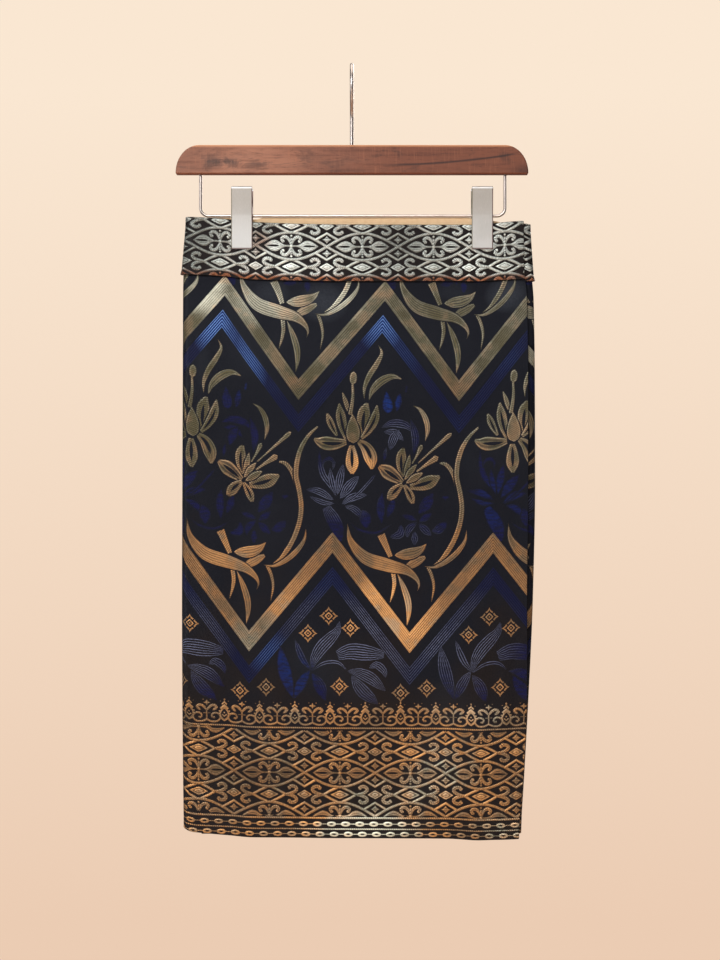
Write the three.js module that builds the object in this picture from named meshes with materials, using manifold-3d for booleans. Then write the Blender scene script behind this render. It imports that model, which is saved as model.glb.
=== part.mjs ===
// A ready-made sampin: one length of brocade with a waistband, folded in three and held by the two
// clips of a wooden hanger. Millimetres, +Z up, front towards -Y. The origin is the inner top of the
// hanger's hook, where the rail bears.

import * as THREE from 'three';
import { mergeVertices } from 'three/addons/utils/BufferGeometryUtils.js';
import Module from 'manifold-3d';

const wasm = await Module();
wasm.setup();

// ---------------------------------------------------------------- driving dimensions

const seam = 0.3; // gap between pieces that touch

const cloth = {
  drop: 614, // cut height, waist edge to hem
  wall: 1.2, // main brocade
  band: 1.6, // waistband, two thicknesses pressed together
  facing: 1.0,
  underEnd: -150, // x of the inner end, hidden between the layers
  foldDepth: 5, // how far a fold's curve reaches along x
};

const bar = { left: -175.8, right: 176.2, top: -78.7, bottom: -107.7, depth: 13, cornerX: 22, edge: 1.4 };

const hookSize = { wire: 1.85, bend: 22, neck: 12, socket: 22, endBelow: 25 };

const frameWire = { wire: 1.5, left: -151.1, right: 153.2, z: -149, corner: 8, socket: 16 };

const clip = {
  width: 21.2,
  top: -120.4,
  bottom: -182.6,
  sheet: 0.8,
  lip: 2.4, // the rolled edge at the top of a jaw
  earTop: -140.5,
  earBottom: -150.4,
  earReach: 3.2, // past the wire's axis
  topDepth: 11.5, // outer face of a jaw at its top, from the wire's plane
  pivotDepth: 8.6,
  springWire: 0.5,
  springTurns: 4,
  springHalf: 6,
};
const clipPlaces = [{ side: 'left', x: -109.6 }, { side: 'right', x: 130.2 }];

// Outer edges of the main cloth at heights down the garment: the two folds and the flap's free edge.
const edges = [
  { z: -150, left: -165.9, right: 176.6, flap: 171.2 },
  { z: -208, left: -168.4, right: 180.1, flap: 172.0 },
  { z: -232, left: -168.8, right: 182.0, flap: 174.6 },
  { z: -300, left: -169.0, right: 183.2, flap: 175.5 },
  { z: -413, left: -169.4, right: 183.6, flap: 175.5 },
  { z: -533, left: -169.8, right: 181.3, flap: 174.4 },
  { z: -633, left: -169.4, right: 176.8, flap: 174.2 },
  { z: -700, left: -168.8, right: 173.2, flap: 171.4 },
  { z: -773, left: -168.0, right: 169.6, flap: 166.2 },
];

// Where the middle of each layer lies in depth. The clips press the band; below it the layers part.
const depths = [
  { z: -150, front: -3.3, under: 0.3, back: 3.3 },
  { z: -218, front: -3.3, under: 0.3, back: 3.3 },
  { z: -255, front: -4.9, under: -0.4, back: 4.5 },
  { z: -300, front: -8.0, under: -1.6, back: 6.9 },
  { z: -335, front: -9.2, under: -2.0, back: 7.7 },
  { z: -773, front: -9.4, under: -2.0, back: 7.9 },
];

// The waist edge, which sags between and beyond the clips, and lies highest on the back.
const frontWaist = [
  { x: -168, z: -150.6 },
  { x: -145, z: -151.5 },
  { x: -123, z: -153.2 },
  { x: -99, z: -156.0 },
  { x: -10, z: -158.3 },
  { x: 119, z: -158.6 },
  { x: 146, z: -156.6 },
  { x: 172, z: -154.8 },
];
const backWaist = [
  { x: -168, z: -150.8 },
  { x: 110, z: -150.8 },
  { x: 145, z: -152.6 },
  { x: 180, z: -156.4 },
];
const bandHeight = [
  { x: -168, height: 57 },
  { x: -50, height: 56.3 },
  { x: 100, height: 55.8 },
  { x: 180, height: 57.6 },
];

const backHem = [
  { x: -168, z: -758.1 },
  { x: 175, z: -766 },
];
const underLay = { waist: -156.8, hem: -766 }; // the under layer hides behind the front one

// How far the hem is lifted along the front layer: most at the left fold.
const hemLift = [
  { x: -168, lift: 6.5 },
  { x: -158, lift: 2.5 },
  { x: -130, lift: 0.5 },
  { x: -60, lift: 0 },
  { x: 166, lift: -0.5 },
];

// Soft flutes that all three layers share, none at the band and full below.
const flutes = { rise: 0.6, startZ: -240, fullZ: -520, long: 24, short: 13.5 };
// Each clip's spring presses the back waist edge down, fully within one distance and not past another.
const springDip = { depth: 1.8, within: 11, past: 17 };

// Rows of the main cloth as shares of its drop, closer where the layers part.
const wrapRows = [0, 0.045, 0.095, 0.13, 0.165, 0.2, 0.245, 0.3, 0.38, 0.47, 0.56, 0.65, 0.74, 0.83, 0.92, 1];
const bandRows = [0, 0.35, 0.7, 1];
const flatColumns = 20;
const foldColumns = 4;
const facingPlace = { from: 0.005, to: 0.985, height: 54 }; // shares of the back's flat run

// ---------------------------------------------------------------- small helpers

// Value of one column of a table at a place along another, straight between its rows.
function along(table, from, column, at) {
  const rising = table[0][from] < table[table.length - 1][from];
  const rows = rising ? table : [...table].reverse();
  if (at <= rows[0][from]) return rows[0][column];
  for (let i = 1; i < rows.length; i++) {
    const low = rows[i - 1];
    const high = rows[i];
    if (at <= high[from]) {
      const share = (at - low[from]) / (high[from] - low[from]);
      return THREE.MathUtils.lerp(low[column], high[column], share);
    }
  }
  return rows[rows.length - 1][column];
}

function material(color, roughness, metalness) {
  return new THREE.MeshStandardMaterial({ color, roughness, metalness });
}

function toSolid(geometry) {
  const bare = geometry.clone();
  bare.deleteAttribute('normal');
  bare.deleteAttribute('uv');
  const merged = outward(mergeVertices(bare, 1e-4));
  const vertProperties = new Float32Array(merged.attributes.position.array);
  const triVerts = new Uint32Array(merged.index.array);
  return new wasm.Manifold(new wasm.Mesh({ numProp: 3, vertProperties, triVerts }));
}

function toGeometry(solid) {
  const mesh = solid.getMesh();
  const geometry = new THREE.BufferGeometry();
  geometry.setAttribute('position', new THREE.BufferAttribute(new Float32Array(mesh.vertProperties), 3));
  geometry.setIndex(new THREE.BufferAttribute(new Uint32Array(mesh.triVerts), 1));
  geometry.computeVertexNormals();
  return geometry;
}

// ---------------------------------------------------------------- the folded cloth

function flute(x, z) {
  const grown = THREE.MathUtils.smoothstep(-z, -flutes.startZ, -flutes.fullZ);
  const wave = 0.6 * Math.sin(x / flutes.long + 0.6) + 0.4 * Math.sin(x / flutes.short + 2.1);
  return flutes.rise * grown * wave;
}

function clipDip(x) {
  const { depth, within, past } = springDip;
  const nearest = Math.min(...clipPlaces.map((place) => Math.abs(x - place.x)));
  return depth * (1 - THREE.MathUtils.smoothstep(nearest, within, past));
}

function waistAt(stretch, x) {
  if (stretch === 'back') return along(backWaist, 'x', 'z', x) - clipDip(x);
  const frontZ = along(frontWaist, 'x', 'z', x);
  return stretch === 'front' ? frontZ : Math.min(frontZ - 0.6, underLay.waist);
}

function hemAt(stretch, x) {
  if (stretch === 'back') return along(backHem, 'x', 'z', x);
  if (stretch === 'under') return underLay.hem;
  return waistAt('front', x) - cloth.drop + along(hemLift, 'x', 'lift', x);
}

// One place on the middle of the wrap, for a column of a stretch at a height. It gives the point and
// the direction the cloth runs in, seen from above.
function wrapPoint(stretch, column, z) {
  const edge = (name) => along(edges, 'z', name, z);
  const depth = (name) => along(depths, 'z', name, z);
  const half = cloth.wall / 2;
  const leftX = edge('left') + half;
  const rightX = edge('right') - half;
  const reach = cloth.foldDepth;
  const lay = {
    front: { from: edge('flap'), to: leftX + reach, y: depth('front'), run: -1 },
    back: { from: leftX + reach, to: rightX - reach, y: depth('back'), run: 1 },
    under: { from: rightX - reach, to: cloth.underEnd, y: depth('under'), run: -1 },
  }[stretch];

  if (column.part === 'flat') {
    const x = THREE.MathUtils.lerp(lay.from, lay.to, column.share);
    const settle = Math.min(column.share * flatColumns, (1 - column.share) * flatColumns, 1);
    return { x, y: lay.y + flute(x, z) * settle, dx: lay.run, dy: 0 };
  }
  // a fold is half an ellipse between two layers, and each stretch owns a quarter of it
  const isLeft = column.part === 'leftFold';
  const near = isLeft ? depth('front') : depth('under');
  const far = depth('back');
  const middleY = (near + far) / 2;
  const rise = (far - near) / 2;
  const centreX = isLeft ? leftX + reach : rightX - reach;
  const side = isLeft ? -1 : 1;
  const turn = column.share * Math.PI; // 0 at the near layer, PI at the far one
  const x = centreX + side * reach * Math.sin(turn);
  const y = middleY - rise * Math.cos(turn);
  const sense = isLeft ? 1 : -1; // the cloth runs near to far on the left, far to near on the right
  const dx = sense * side * reach * Math.cos(turn);
  const dy = sense * rise * Math.sin(turn);
  const length = Math.hypot(dx, dy);
  const slide = column.trim / length;
  return { x: x + dx * slide, y: y + dy * slide, dx: dx / length, dy: dy / length };
}

function flats(first, last, count) {
  const list = [];
  for (let i = 0; i <= count; i++) {
    list.push({ part: 'flat', share: THREE.MathUtils.lerp(first, last, i / count) });
  }
  return list;
}

// Columns round a fold after its first line, with the last one trimmed along the cloth.
function folds(part, first, last, trimLast) {
  const list = [];
  for (let i = 1; i <= foldColumns; i++) {
    const trim = i === foldColumns ? trimLast : 0;
    list.push({ part, share: THREE.MathUtils.lerp(first, last, i / foldColumns), trim });
  }
  return list;
}

// Each stretch's columns, in the order that the cloth runs. Two stretches part at a fold's outermost
// line, half a seam back from it each.
const stretchColumns = {
  front: [...flats(0, 1, flatColumns), ...folds('leftFold', 0, 0.5, -seam / 2)],
  back: [
    ...folds('leftFold', 1, 0.5, seam / 2).reverse(),
    ...flats(0, 1, flatColumns),
    ...folds('rightFold', 1, 0.5, -seam / 2),
  ],
  under: [...folds('rightFold', 0, 0.5, seam / 2).reverse(), ...flats(0, 1, flatColumns)],
};

// A wall of cloth between two offsets from the middle of the wrap, closed all round. The outer side
// is on the left of the way the cloth runs.
function clothWall({ stretch, columns, rows, near, far, waist, foot }) {
  const wide = columns.length;
  const tall = rows.length;
  const middleZ = waistAt('front', 0) - cloth.drop / 2; // a column's x here finds its waist and foot
  const positions = [];
  for (const offset of [far, near]) {
    for (const share of rows) {
      for (const column of columns) {
        const { x } = wrapPoint(stretch, column, middleZ);
        const z = THREE.MathUtils.lerp(waist(x), foot(x), share);
        const p = wrapPoint(stretch, column, z);
        positions.push(p.x - p.dy * offset, p.y + p.dx * offset, z);
      }
    }
  }
  const at = (side, row, col) => side * wide * tall + row * wide + col;
  const index = [];
  const quad = (a, b, c, d) => index.push(a, b, c, a, c, d);
  for (let r = 0; r < tall - 1; r++) {
    for (let c = 0; c < wide - 1; c++) {
      quad(at(0, r, c), at(0, r, c + 1), at(0, r + 1, c + 1), at(0, r + 1, c));
      quad(at(1, r, c), at(1, r + 1, c), at(1, r + 1, c + 1), at(1, r, c + 1));
    }
    quad(at(0, r, 0), at(0, r + 1, 0), at(1, r + 1, 0), at(1, r, 0));
    quad(at(0, r, wide - 1), at(1, r, wide - 1), at(1, r + 1, wide - 1), at(0, r + 1, wide - 1));
  }
  for (let c = 0; c < wide - 1; c++) {
    quad(at(0, 0, c), at(1, 0, c), at(1, 0, c + 1), at(0, 0, c + 1));
    quad(at(0, tall - 1, c), at(0, tall - 1, c + 1), at(1, tall - 1, c + 1), at(1, tall - 1, c));
  }
  const geometry = new THREE.BufferGeometry();
  geometry.setAttribute('position', new THREE.Float32BufferAttribute(positions, 3));
  geometry.setIndex(index);
  return outward(geometry);
}

// Turns the faces round if they point inwards.
function outward(geometry) {
  const p = geometry.attributes.position;
  const index = geometry.index;
  const a = new THREE.Vector3();
  const b = new THREE.Vector3();
  const c = new THREE.Vector3();
  let volume = 0;
  for (let i = 0; i < index.count; i += 3) {
    a.fromBufferAttribute(p, index.getX(i));
    b.fromBufferAttribute(p, index.getX(i + 1));
    c.fromBufferAttribute(p, index.getX(i + 2));
    volume += a.dot(b.cross(c));
  }
  if (volume < 0) {
    for (let i = 0; i < index.count; i += 3) {
      const second = index.getX(i + 1);
      index.setX(i + 1, index.getX(i + 2));
      index.setX(i + 2, second);
    }
  }
  geometry.computeVertexNormals();
  return geometry;
}

function wrapStretch(stretch) {
  return clothWall({
    stretch,
    columns: stretchColumns[stretch],
    rows: wrapRows,
    near: -cloth.wall / 2,
    far: cloth.wall / 2,
    waist: (x) => waistAt(stretch, x),
    foot: (x) => hemAt(stretch, x),
  });
}

// The waistband lies on the outer side of the wrap, made from the same points moved out.
function bandStretch(stretch) {
  const near = cloth.wall / 2 + seam;
  return clothWall({
    stretch,
    columns: stretchColumns[stretch],
    rows: bandRows,
    near,
    far: near + cloth.band,
    waist: (x) => waistAt(stretch, x),
    foot: (x) => (stretch === 'back' ? along(backWaist, 'x', 'z', x) : waistAt(stretch, x))
      - along(bandHeight, 'x', 'height', x),
  });
}

// The facing lines the band on the inner side of the back stretch, between the folds.
function bandFacing() {
  const far = -cloth.wall / 2 - seam;
  return clothWall({
    stretch: 'back',
    columns: flats(facingPlace.from, facingPlace.to, flatColumns),
    rows: [0, 0.5, 1],
    near: far - cloth.facing,
    far,
    waist: (x) => waistAt('back', x),
    foot: (x) => waistAt('back', x) - facingPlace.height,
  });
}

// ---------------------------------------------------------------- the hanger

// A route through given points, with a ring of the section exactly at each of them.
class Route extends THREE.Curve {
  constructor(stops) {
    super();
    this.stops = stops;
  }
  stopAt(t) {
    return this.stops[Math.round(t * (this.stops.length - 1))];
  }
  getPointAt(t, target = new THREE.Vector3()) {
    return target.copy(this.stopAt(t).point);
  }
  getPoint(t, target = new THREE.Vector3()) {
    return this.getPointAt(t, target);
  }
  getTangentAt(t, target = new THREE.Vector3()) {
    return target.copy(this.stopAt(t).way).normalize();
  }
}

function stop(x, y, z, wayX, wayY, wayZ) {
  return { point: new THREE.Vector3(x, y, z), way: new THREE.Vector3(wayX, wayY, wayZ) };
}

function wireAlong(stops, radius, sides) {
  const section = new THREE.Shape();
  for (let i = 0; i < sides; i++) {
    const turn = (2 * Math.PI * i) / sides;
    const x = radius * Math.cos(turn);
    const y = radius * Math.sin(turn);
    if (i === 0) section.moveTo(x, y);
    else section.lineTo(x, y);
  }
  section.closePath();
  const options = { steps: stops.length - 1, extrudePath: new Route(stops), bevelEnabled: false };
  return new THREE.ExtrudeGeometry(section, options);
}

// The hook in its plane: straight shank, neck turned forwards, then the round bend over the rail.
function hookStops() {
  const { wire, bend, neck, socket, endBelow } = hookSize;
  const centreZ = wire - bend;
  const neckZ = centreZ - Math.sqrt((bend + neck) ** 2 - neck ** 2);
  const meet = Math.atan2(centreZ - neckZ, neck); // where the neck's arc meets the bend
  const list = [stop(0, 0, bar.top - socket + seam, 0, 0, 1), stop(0, 0, neckZ, 0, 0, 1)];
  const neckSteps = 6;
  for (let i = 1; i <= neckSteps; i++) {
    const turn = (meet * i) / neckSteps;
    const y = -neck + neck * Math.cos(turn);
    const z = neckZ + neck * Math.sin(turn);
    list.push(stop(0, y, z, 0, -Math.sin(turn), Math.cos(turn)));
  }
  const bendSteps = 26;
  const start = meet + Math.PI;
  const end = THREE.MathUtils.degToRad(-endBelow);
  for (let i = 1; i <= bendSteps; i++) {
    const turn = THREE.MathUtils.lerp(start, end, i / bendSteps);
    const y = bend * Math.cos(turn);
    const z = centreZ + bend * Math.sin(turn);
    list.push(stop(0, y, z, 0, Math.sin(turn), -Math.cos(turn)));
  }
  return list;
}

// The frame wire: down from the bar, along above the cloth, and up into the bar again.
function frameStops() {
  const { left, right, z, corner, socket } = frameWire;
  const topZ = bar.bottom + socket - seam;
  const list = [stop(left, 0, topZ, 0, 0, -1)];
  const steps = 6;
  for (let i = 0; i <= steps; i++) {
    const turn = (Math.PI / 2) * (i / steps);
    const x = left + corner - corner * Math.cos(turn);
    list.push(stop(x, 0, z + corner - corner * Math.sin(turn), Math.sin(turn), 0, -Math.cos(turn)));
  }
  for (let i = 0; i <= steps; i++) {
    const turn = (Math.PI / 2) * (i / steps);
    const x = right - corner + corner * Math.sin(turn);
    list.push(stop(x, 0, z + corner - corner * Math.cos(turn), Math.cos(turn), 0, Math.sin(turn)));
  }
  list.push(stop(right, 0, topZ, 0, 0, 1));
  return list;
}

function boreCutter(x, fromZ, depth, radius) {
  const cutter = new THREE.CylinderGeometry(radius, radius, depth, 16);
  cutter.rotateX(Math.PI / 2);
  cutter.translate(x, 0, fromZ + depth / 2);
  return toSolid(cutter);
}

// The bar: square below, its two upper corners rounded off as quarter ellipses, with blind bores.
function woodBar() {
  const { left, right, top, bottom, depth, cornerX, edge } = bar;
  const high = top - bottom - 2 * edge;
  const outline = new THREE.Shape();
  outline.moveTo(left + edge, bottom + edge);
  outline.lineTo(right - edge, bottom + edge);
  outline.absellipse(right - edge - cornerX, bottom + edge, cornerX, high, 0, Math.PI / 2, false);
  outline.lineTo(left + edge + cornerX, top - edge);
  outline.absellipse(left + edge + cornerX, bottom + edge, cornerX, high, Math.PI / 2, Math.PI, false);
  const body = new THREE.ExtrudeGeometry(outline, {
    depth: depth - 2 * edge,
    curveSegments: 8,
    bevelEnabled: true,
    bevelThickness: edge,
    bevelSize: edge,
    bevelSegments: 2,
  });
  body.translate(0, 0, edge - depth / 2);
  body.rotateX(Math.PI / 2);
  const overrun = 2;
  const wireDeep = frameWire.socket + overrun;
  const cutters = [
    boreCutter(0, top - hookSize.socket, hookSize.socket + overrun, hookSize.wire + seam),
    boreCutter(frameWire.left, bottom - overrun, wireDeep, frameWire.wire + seam),
    boreCutter(frameWire.right, bottom - overrun, wireDeep, frameWire.wire + seam),
  ];
  return toGeometry(cutters.reduce((solid, cutter) => solid.subtract(cutter), toSolid(body)));
}

// ---------------------------------------------------------------- the clips

// A profile in the plane across the wire, given as [depth, z] pairs, made as wide as asked along x.
function acrossProfile(pairs, fromX, toX) {
  const shape = new THREE.Shape(pairs.map(([y, z]) => new THREE.Vector2(y, z)));
  const geometry = new THREE.ExtrudeGeometry(shape, { depth: toX - fromX, bevelEnabled: false });
  // the shape's plane (x, y) becomes (y, z), and its depth runs along x
  geometry.applyMatrix4(new THREE.Matrix4().set(0, 0, 1, fromX, 1, 0, 0, 0, 0, 1, 0, 0, 0, 0, 0, 1));
  return geometry;
}

const bandFace = depths[0].back + cloth.wall / 2 + seam + cloth.band;
const grip = bandFace + seam + clip.sheet; // outer face of a jaw where it bites

// Depth of a jaw's outer face at a height: it leans out from the bite to the pivot, and more above.
function jawDepth(z) {
  const { top, bottom, topDepth, pivotDepth } = clip;
  if (z > frameWire.z) return THREE.MathUtils.mapLinear(z, frameWire.z, top, pivotDepth, topDepth);
  return THREE.MathUtils.mapLinear(z, bottom, frameWire.z, grip, pivotDepth);
}

// A jaw on the side given by facing (-1 front, 1 back): a bent plate with two ears over the wire.
function clipJaw(centreX, facing) {
  const { width, top, bottom, sheet, lip, earTop, earBottom, earReach, topDepth, pivotDepth } = clip;
  const half = width / 2;
  const plate = [
    [grip, bottom],
    [pivotDepth, frameWire.z],
    [topDepth, top],
    [topDepth - lip, top],
    [topDepth - lip, top - sheet],
    [topDepth - sheet, top - sheet],
    [pivotDepth - sheet, frameWire.z],
    [grip - sheet, bottom],
  ].map(([depth, z]) => [facing * depth, z]);

  const slot = frameWire.wire + seam;
  const ear = [
    [jawDepth(earTop) - sheet / 2, earTop],
    [pivotDepth - sheet / 2, frameWire.z],
    [jawDepth(earBottom) - sheet / 2, earBottom],
    [slot, earBottom],
    [slot, frameWire.z],
    [slot * 0.7, frameWire.z + slot * 0.7],
    [0, frameWire.z + slot],
    [-slot * 0.7, frameWire.z + slot * 0.7],
    [-slot, frameWire.z],
    [-slot, earBottom],
    [-earReach, earBottom],
    [-earReach, earTop - 4],
    [-1, earTop],
  ].map(([depth, z]) => [facing * depth, z]);

  const inset = facing < 0 ? 0 : sheet + seam * 2; // the back jaw's ears nest inside the front one's
  const solids = [acrossProfile(plate, centreX - half, centreX + half)];
  for (const side of [-1, 1]) {
    const outer = centreX + side * (half - inset);
    const inner = outer - side * sheet;
    solids.push(acrossProfile(ear, Math.min(outer, inner), Math.max(outer, inner)));
  }
  return toGeometry(solids.map(toSolid).reduce((sum, solid) => sum.add(solid)));
}

// The spring: turns round the wire, and a leg up each jaw that presses their tops apart.
function clipSpring(centreX) {
  const { springWire, springTurns, springHalf, sheet, top } = clip;
  const coil = frameWire.wire + seam + springWire;
  const legTop = top - 12;
  const legDepth = jawDepth(legTop) - sheet - seam - springWire;
  const startX = centreX - springHalf;
  const endX = centreX + springHalf;
  const out = legDepth - coil;
  const down = frameWire.z - legTop;
  const list = [stop(startX, -legDepth, legTop, 0, out, down)];
  const wound = 2 * Math.PI * (springTurns + 0.5);
  const steps = springTurns * 8 + 4;
  for (let i = 0; i <= steps; i++) {
    const turn = Math.PI + wound * (i / steps);
    const x = THREE.MathUtils.lerp(startX, endX, i / steps);
    const y = coil * Math.cos(turn);
    const z = frameWire.z + coil * Math.sin(turn);
    list.push(stop(x, y, z, (endX - startX) / wound, -coil * Math.sin(turn), coil * Math.cos(turn)));
  }
  list.push(stop(endX, legDepth, legTop, 0, out, -down));
  return wireAlong(list, springWire, 6);
}

// ---------------------------------------------------------------- assembly

const looks = {
  brocade: () => material(0x1c1f24, 0.5, 0.1),
  border: () => material(0x8f8768, 0.45, 0.4),
  facing: () => material(0xc9a06c, 0.9, 0),
  wood: () => material(0x7a4736, 0.45, 0),
  wire: () => material(0xb9b4ae, 0.2, 1),
  steel: () => material(0xc6c0b6, 0.3, 0.9),
};

const sampin = new THREE.Group();
sampin.name = 'sampin_on_clip_hanger';

function place(name, geometry, look) {
  const mesh = new THREE.Mesh(geometry, look());
  mesh.name = name;
  sampin.add(mesh);
}

for (const stretch of ['front', 'back', 'under']) {
  place(`wrap_${stretch}`, wrapStretch(stretch), looks.brocade);
  place(`band_${stretch}`, bandStretch(stretch), looks.border);
}
place('band_facing', bandFacing(), looks.facing);

place('wood_bar', woodBar(), looks.wood);
place('hook', wireAlong(hookStops(), hookSize.wire, 12), looks.wire);
place('clip_wire', wireAlong(frameStops(), frameWire.wire, 12), looks.wire);
for (const { side, x } of clipPlaces) {
  place(`${side}_clip_front`, clipJaw(x, -1), looks.steel);
  place(`${side}_clip_back`, clipJaw(x, 1), looks.steel);
  place(`${side}_clip_spring`, clipSpring(x), looks.steel);
}

export default sampin;
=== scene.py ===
import math

import bmesh
import bpy
import numpy as np
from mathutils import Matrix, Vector, geometry


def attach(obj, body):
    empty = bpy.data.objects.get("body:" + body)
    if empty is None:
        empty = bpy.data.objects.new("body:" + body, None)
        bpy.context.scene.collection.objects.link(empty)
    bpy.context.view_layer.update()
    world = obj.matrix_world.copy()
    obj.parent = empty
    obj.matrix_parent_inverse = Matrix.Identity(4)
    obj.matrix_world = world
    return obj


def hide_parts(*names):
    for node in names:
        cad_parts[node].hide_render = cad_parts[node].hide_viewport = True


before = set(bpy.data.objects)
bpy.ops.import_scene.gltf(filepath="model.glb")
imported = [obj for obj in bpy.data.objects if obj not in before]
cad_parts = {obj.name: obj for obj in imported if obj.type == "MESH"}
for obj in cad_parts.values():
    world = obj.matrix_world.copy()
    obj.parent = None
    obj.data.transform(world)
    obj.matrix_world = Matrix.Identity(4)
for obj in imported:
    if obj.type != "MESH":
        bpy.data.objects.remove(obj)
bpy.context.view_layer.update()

# A ready-made sampin folded in three on a clip hanger. Lengths are in millimetres until a mesh is
# made. The hook's inner top is the origin, +Z up, and the front looks towards -Y.
mm = 0.001
scene = bpy.context.scene
scene.view_settings.view_transform = "Standard"


class Wire:
    # a socket that takes part in sums
    def __init__(self, finish, socket):
        self.finish = finish
        self.socket = socket

    def maths(self, operation, *others):
        return self.finish.node("Math", {"operation": operation}, dict(enumerate((self, *others))))

    def turned(self, operation, other):
        return self.finish.node("Math", {"operation": operation}, {0: other, 1: self})

    def __add__(self, other):
        return self.maths("ADD", other)

    def __sub__(self, other):
        return self.maths("SUBTRACT", other)

    def __mul__(self, other):
        return self.maths("MULTIPLY", other)

    def __radd__(self, other):
        return self.turned("ADD", other)

    def __rsub__(self, other):
        return self.turned("SUBTRACT", other)

    def __rmul__(self, other):
        return self.turned("MULTIPLY", other)

    def size(self):
        # without its sign
        return self.maths("ABSOLUTE")

    def wave(self, length):
        # a sine that repeats after a length in millimetres
        return (self * (2 * math.pi / (length * mm))).maths("SINE")

    def held(self):
        # between 0 and 1
        return self.maths("MAXIMUM", 0.0).maths("MINIMUM", 1.0)

    def step(self, low, high):
        # 0 below one value, 1 above the other, soft between
        ends = {0: self, 1: low, 2: high, 3: 0.0, 4: 1.0}
        return self.finish.node("MapRange", {"interpolation_type": "SMOOTHSTEP"}, ends)

    def near(self, value, reach=0.5):
        return self.maths("COMPARE", value, reach)


class Finish:
    # one material, or the world, and the nodes that make it
    def __init__(self, name, kind="materials"):
        self.holder = getattr(bpy.data, kind).new(name)
        self.holder.use_nodes = True
        self.tree = self.holder.node_tree
        self.tree.nodes.clear()

    def node(self, kind, settings=None, sockets=None, out=0):
        made = self.tree.nodes.new("ShaderNode" + kind)
        for name, value in (settings or {}).items():
            setattr(made, name, value)
        for key, value in (sockets or {}).items():
            if isinstance(value, Wire):
                self.tree.links.new(value.socket, made.inputs[key])
            else:
                made.inputs[key].default_value = value
        return Wire(self, made.outputs[out]) if made.outputs else None

    def blend(self, share, first, second):
        # two colours in shares
        return self.node("Mix", {"data_type": "RGBA"}, {0: share, 6: first, 7: second}, out=2)

    def layered(self, shade, *layers):
        # each layer's colour over the ones before it, where its mask says
        for mask, colour in layers:
            shade = self.blend(mask, shade, rgb(*colour))
        return shade

    def noise(self, where, scale, detail=2.0, rough=0.5, warp=0.0):
        sockets = {"Scale": scale, "Detail": detail, "Roughness": rough, "Distortion": warp}
        return self.node("TexNoise", None, {"Vector": where, **sockets})

    def drawn(self, where, scale, detail=2.0, rough=0.6, warp=0.0):
        # noise drawn out along an axis
        where = self.node("Mapping", None, {"Vector": where, "Scale": scale})
        return self.noise(where, 1.0, detail, rough, warp)

    def place(self):
        # where the point lies on the object, in metres
        return self.node("TexCoord", out=3)

    def spread(self, name):
        # the two numbers of a UV map
        return self.parts(self.node("UVMap", {"uv_map": name}))[:2]

    def value(self, name):
        return self.node("Attribute", {"attribute_name": name}, out=2)

    def parts(self, vector):
        split = self.node("SeparateXYZ", None, {0: vector}).socket.node
        return [Wire(self, socket) for socket in split.outputs]

    def surface(self, height=None, strength=0.5, reach=0.001, **sockets):
        if height is not None:
            bump = {"Strength": strength, "Distance": reach, "Height": height}
            sockets["Normal"] = self.node("Bump", None, bump)
        sockets = {name.replace("_", " "): value for name, value in sockets.items()}
        self.node("OutputMaterial", None, {"Surface": self.node("BsdfPrincipled", None, sockets)})
        return self.holder


def rgb(*screen):
    # a colour given as on a screen, made linear
    return (*(((c / 255 + 0.055) / 1.055) ** 2.4 if c > 10 else c / 255 / 12.92 for c in screen), 1.0)


cloth = {"drop": 614.0, "wall": 1.2, "underEnd": -150.0, "foldReach": 5.0, "edge": 0.45}
bandCloth = {"gap": 0.3, "thick": 1.6, "low": 57.0, "edge": 0.4, "flare": 1.1, "flareHigh": 3.6}
facingCloth = {"gap": 0.3, "thick": 1.0, "high": 54.0, "edge": 0.3, "pastLeft": 6.0, "pastRight": 4.0}
# how close a sheet's points stand, and how far past its edges figures are charted
grid = {"foldReach": 19.0, "foldStep": 1.5, "rimStep": 3.0, "backWide": 1.5, "backTall": 2.0}
figureReach = {"pastInner": 10.0, "right": 190.0, "over": 20.0}
# the heights at which the waist, the middle and the hem are measured across
waistZ, midZ, hemZ = -180.0, -465.0, -760.0

# height, left fold, right fold and the flap's free edge
edgeRows = [(-150, -164.4, 176.9, 171.2), (-208, -168.4, 180.1, 172.0), (-232, -168.8, 182.0, 174.6),
            (-300, -169.0, 183.2, 175.5), (-413, -169.4, 183.6, 175.5), (-533, -169.8, 181.3, 174.4),
            (-633, -169.4, 176.8, 174.2), (-700, -168.8, 173.2, 171.4), (-773, -168.0, 169.6, 166.2)]
# height and the depth of the front, under and back layers
depthRows = [(-150, -3.3, 0.3, 3.3), (-218, -3.3, 0.3, 3.3), (-255, -4.9, -0.4, 4.5),
             (-300, -8.0, -1.6, 6.9), (-335, -9.2, -2.0, 7.7), (-773, -9.4, -2.0, 7.9)]
frontWaist = [(-168, -150.6), (-145, -151.5), (-123, -153.2), (-99, -156.0), (-10, -158.3),
              (119, -158.6), (146, -156.6), (172, -154.8)]
backWaist = [(-168, -150.8), (110, -150.8), (141, -152.6), (149, -157.4), (180, -157.4)]
bandHeight = [(-168, 57.0), (-50, 56.3), (100, 55.8), (180, 57.6)]
backHem = [(-168, -758.1), (175, -766.0)]
hemLift = [(-168, 4.2), (-158, 1.6), (-130, 0.7), (-100, 1.4), (-50, 2.9), (90, 2.9), (130, 0.6), (166, -1.3)]
underLay = {"waist": -156.8, "waistBelow": 0.6, "hem": -766.0}
flutes = {"rise": 0.6, "startZ": -240.0, "fullZ": -520.0, "clear": 17.0, "creasesFrom": -222.0,
          "creasesFull": -250.0, "waves": ((24.0, 0.6, 0.6), (13.5, 2.1, 0.4))}    # length, phase, share
springDip = {"depth": 1.8, "within": 11.0, "past": 17.0}
clipPlaces = {"left": -109.6, "right": 130.2}

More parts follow.
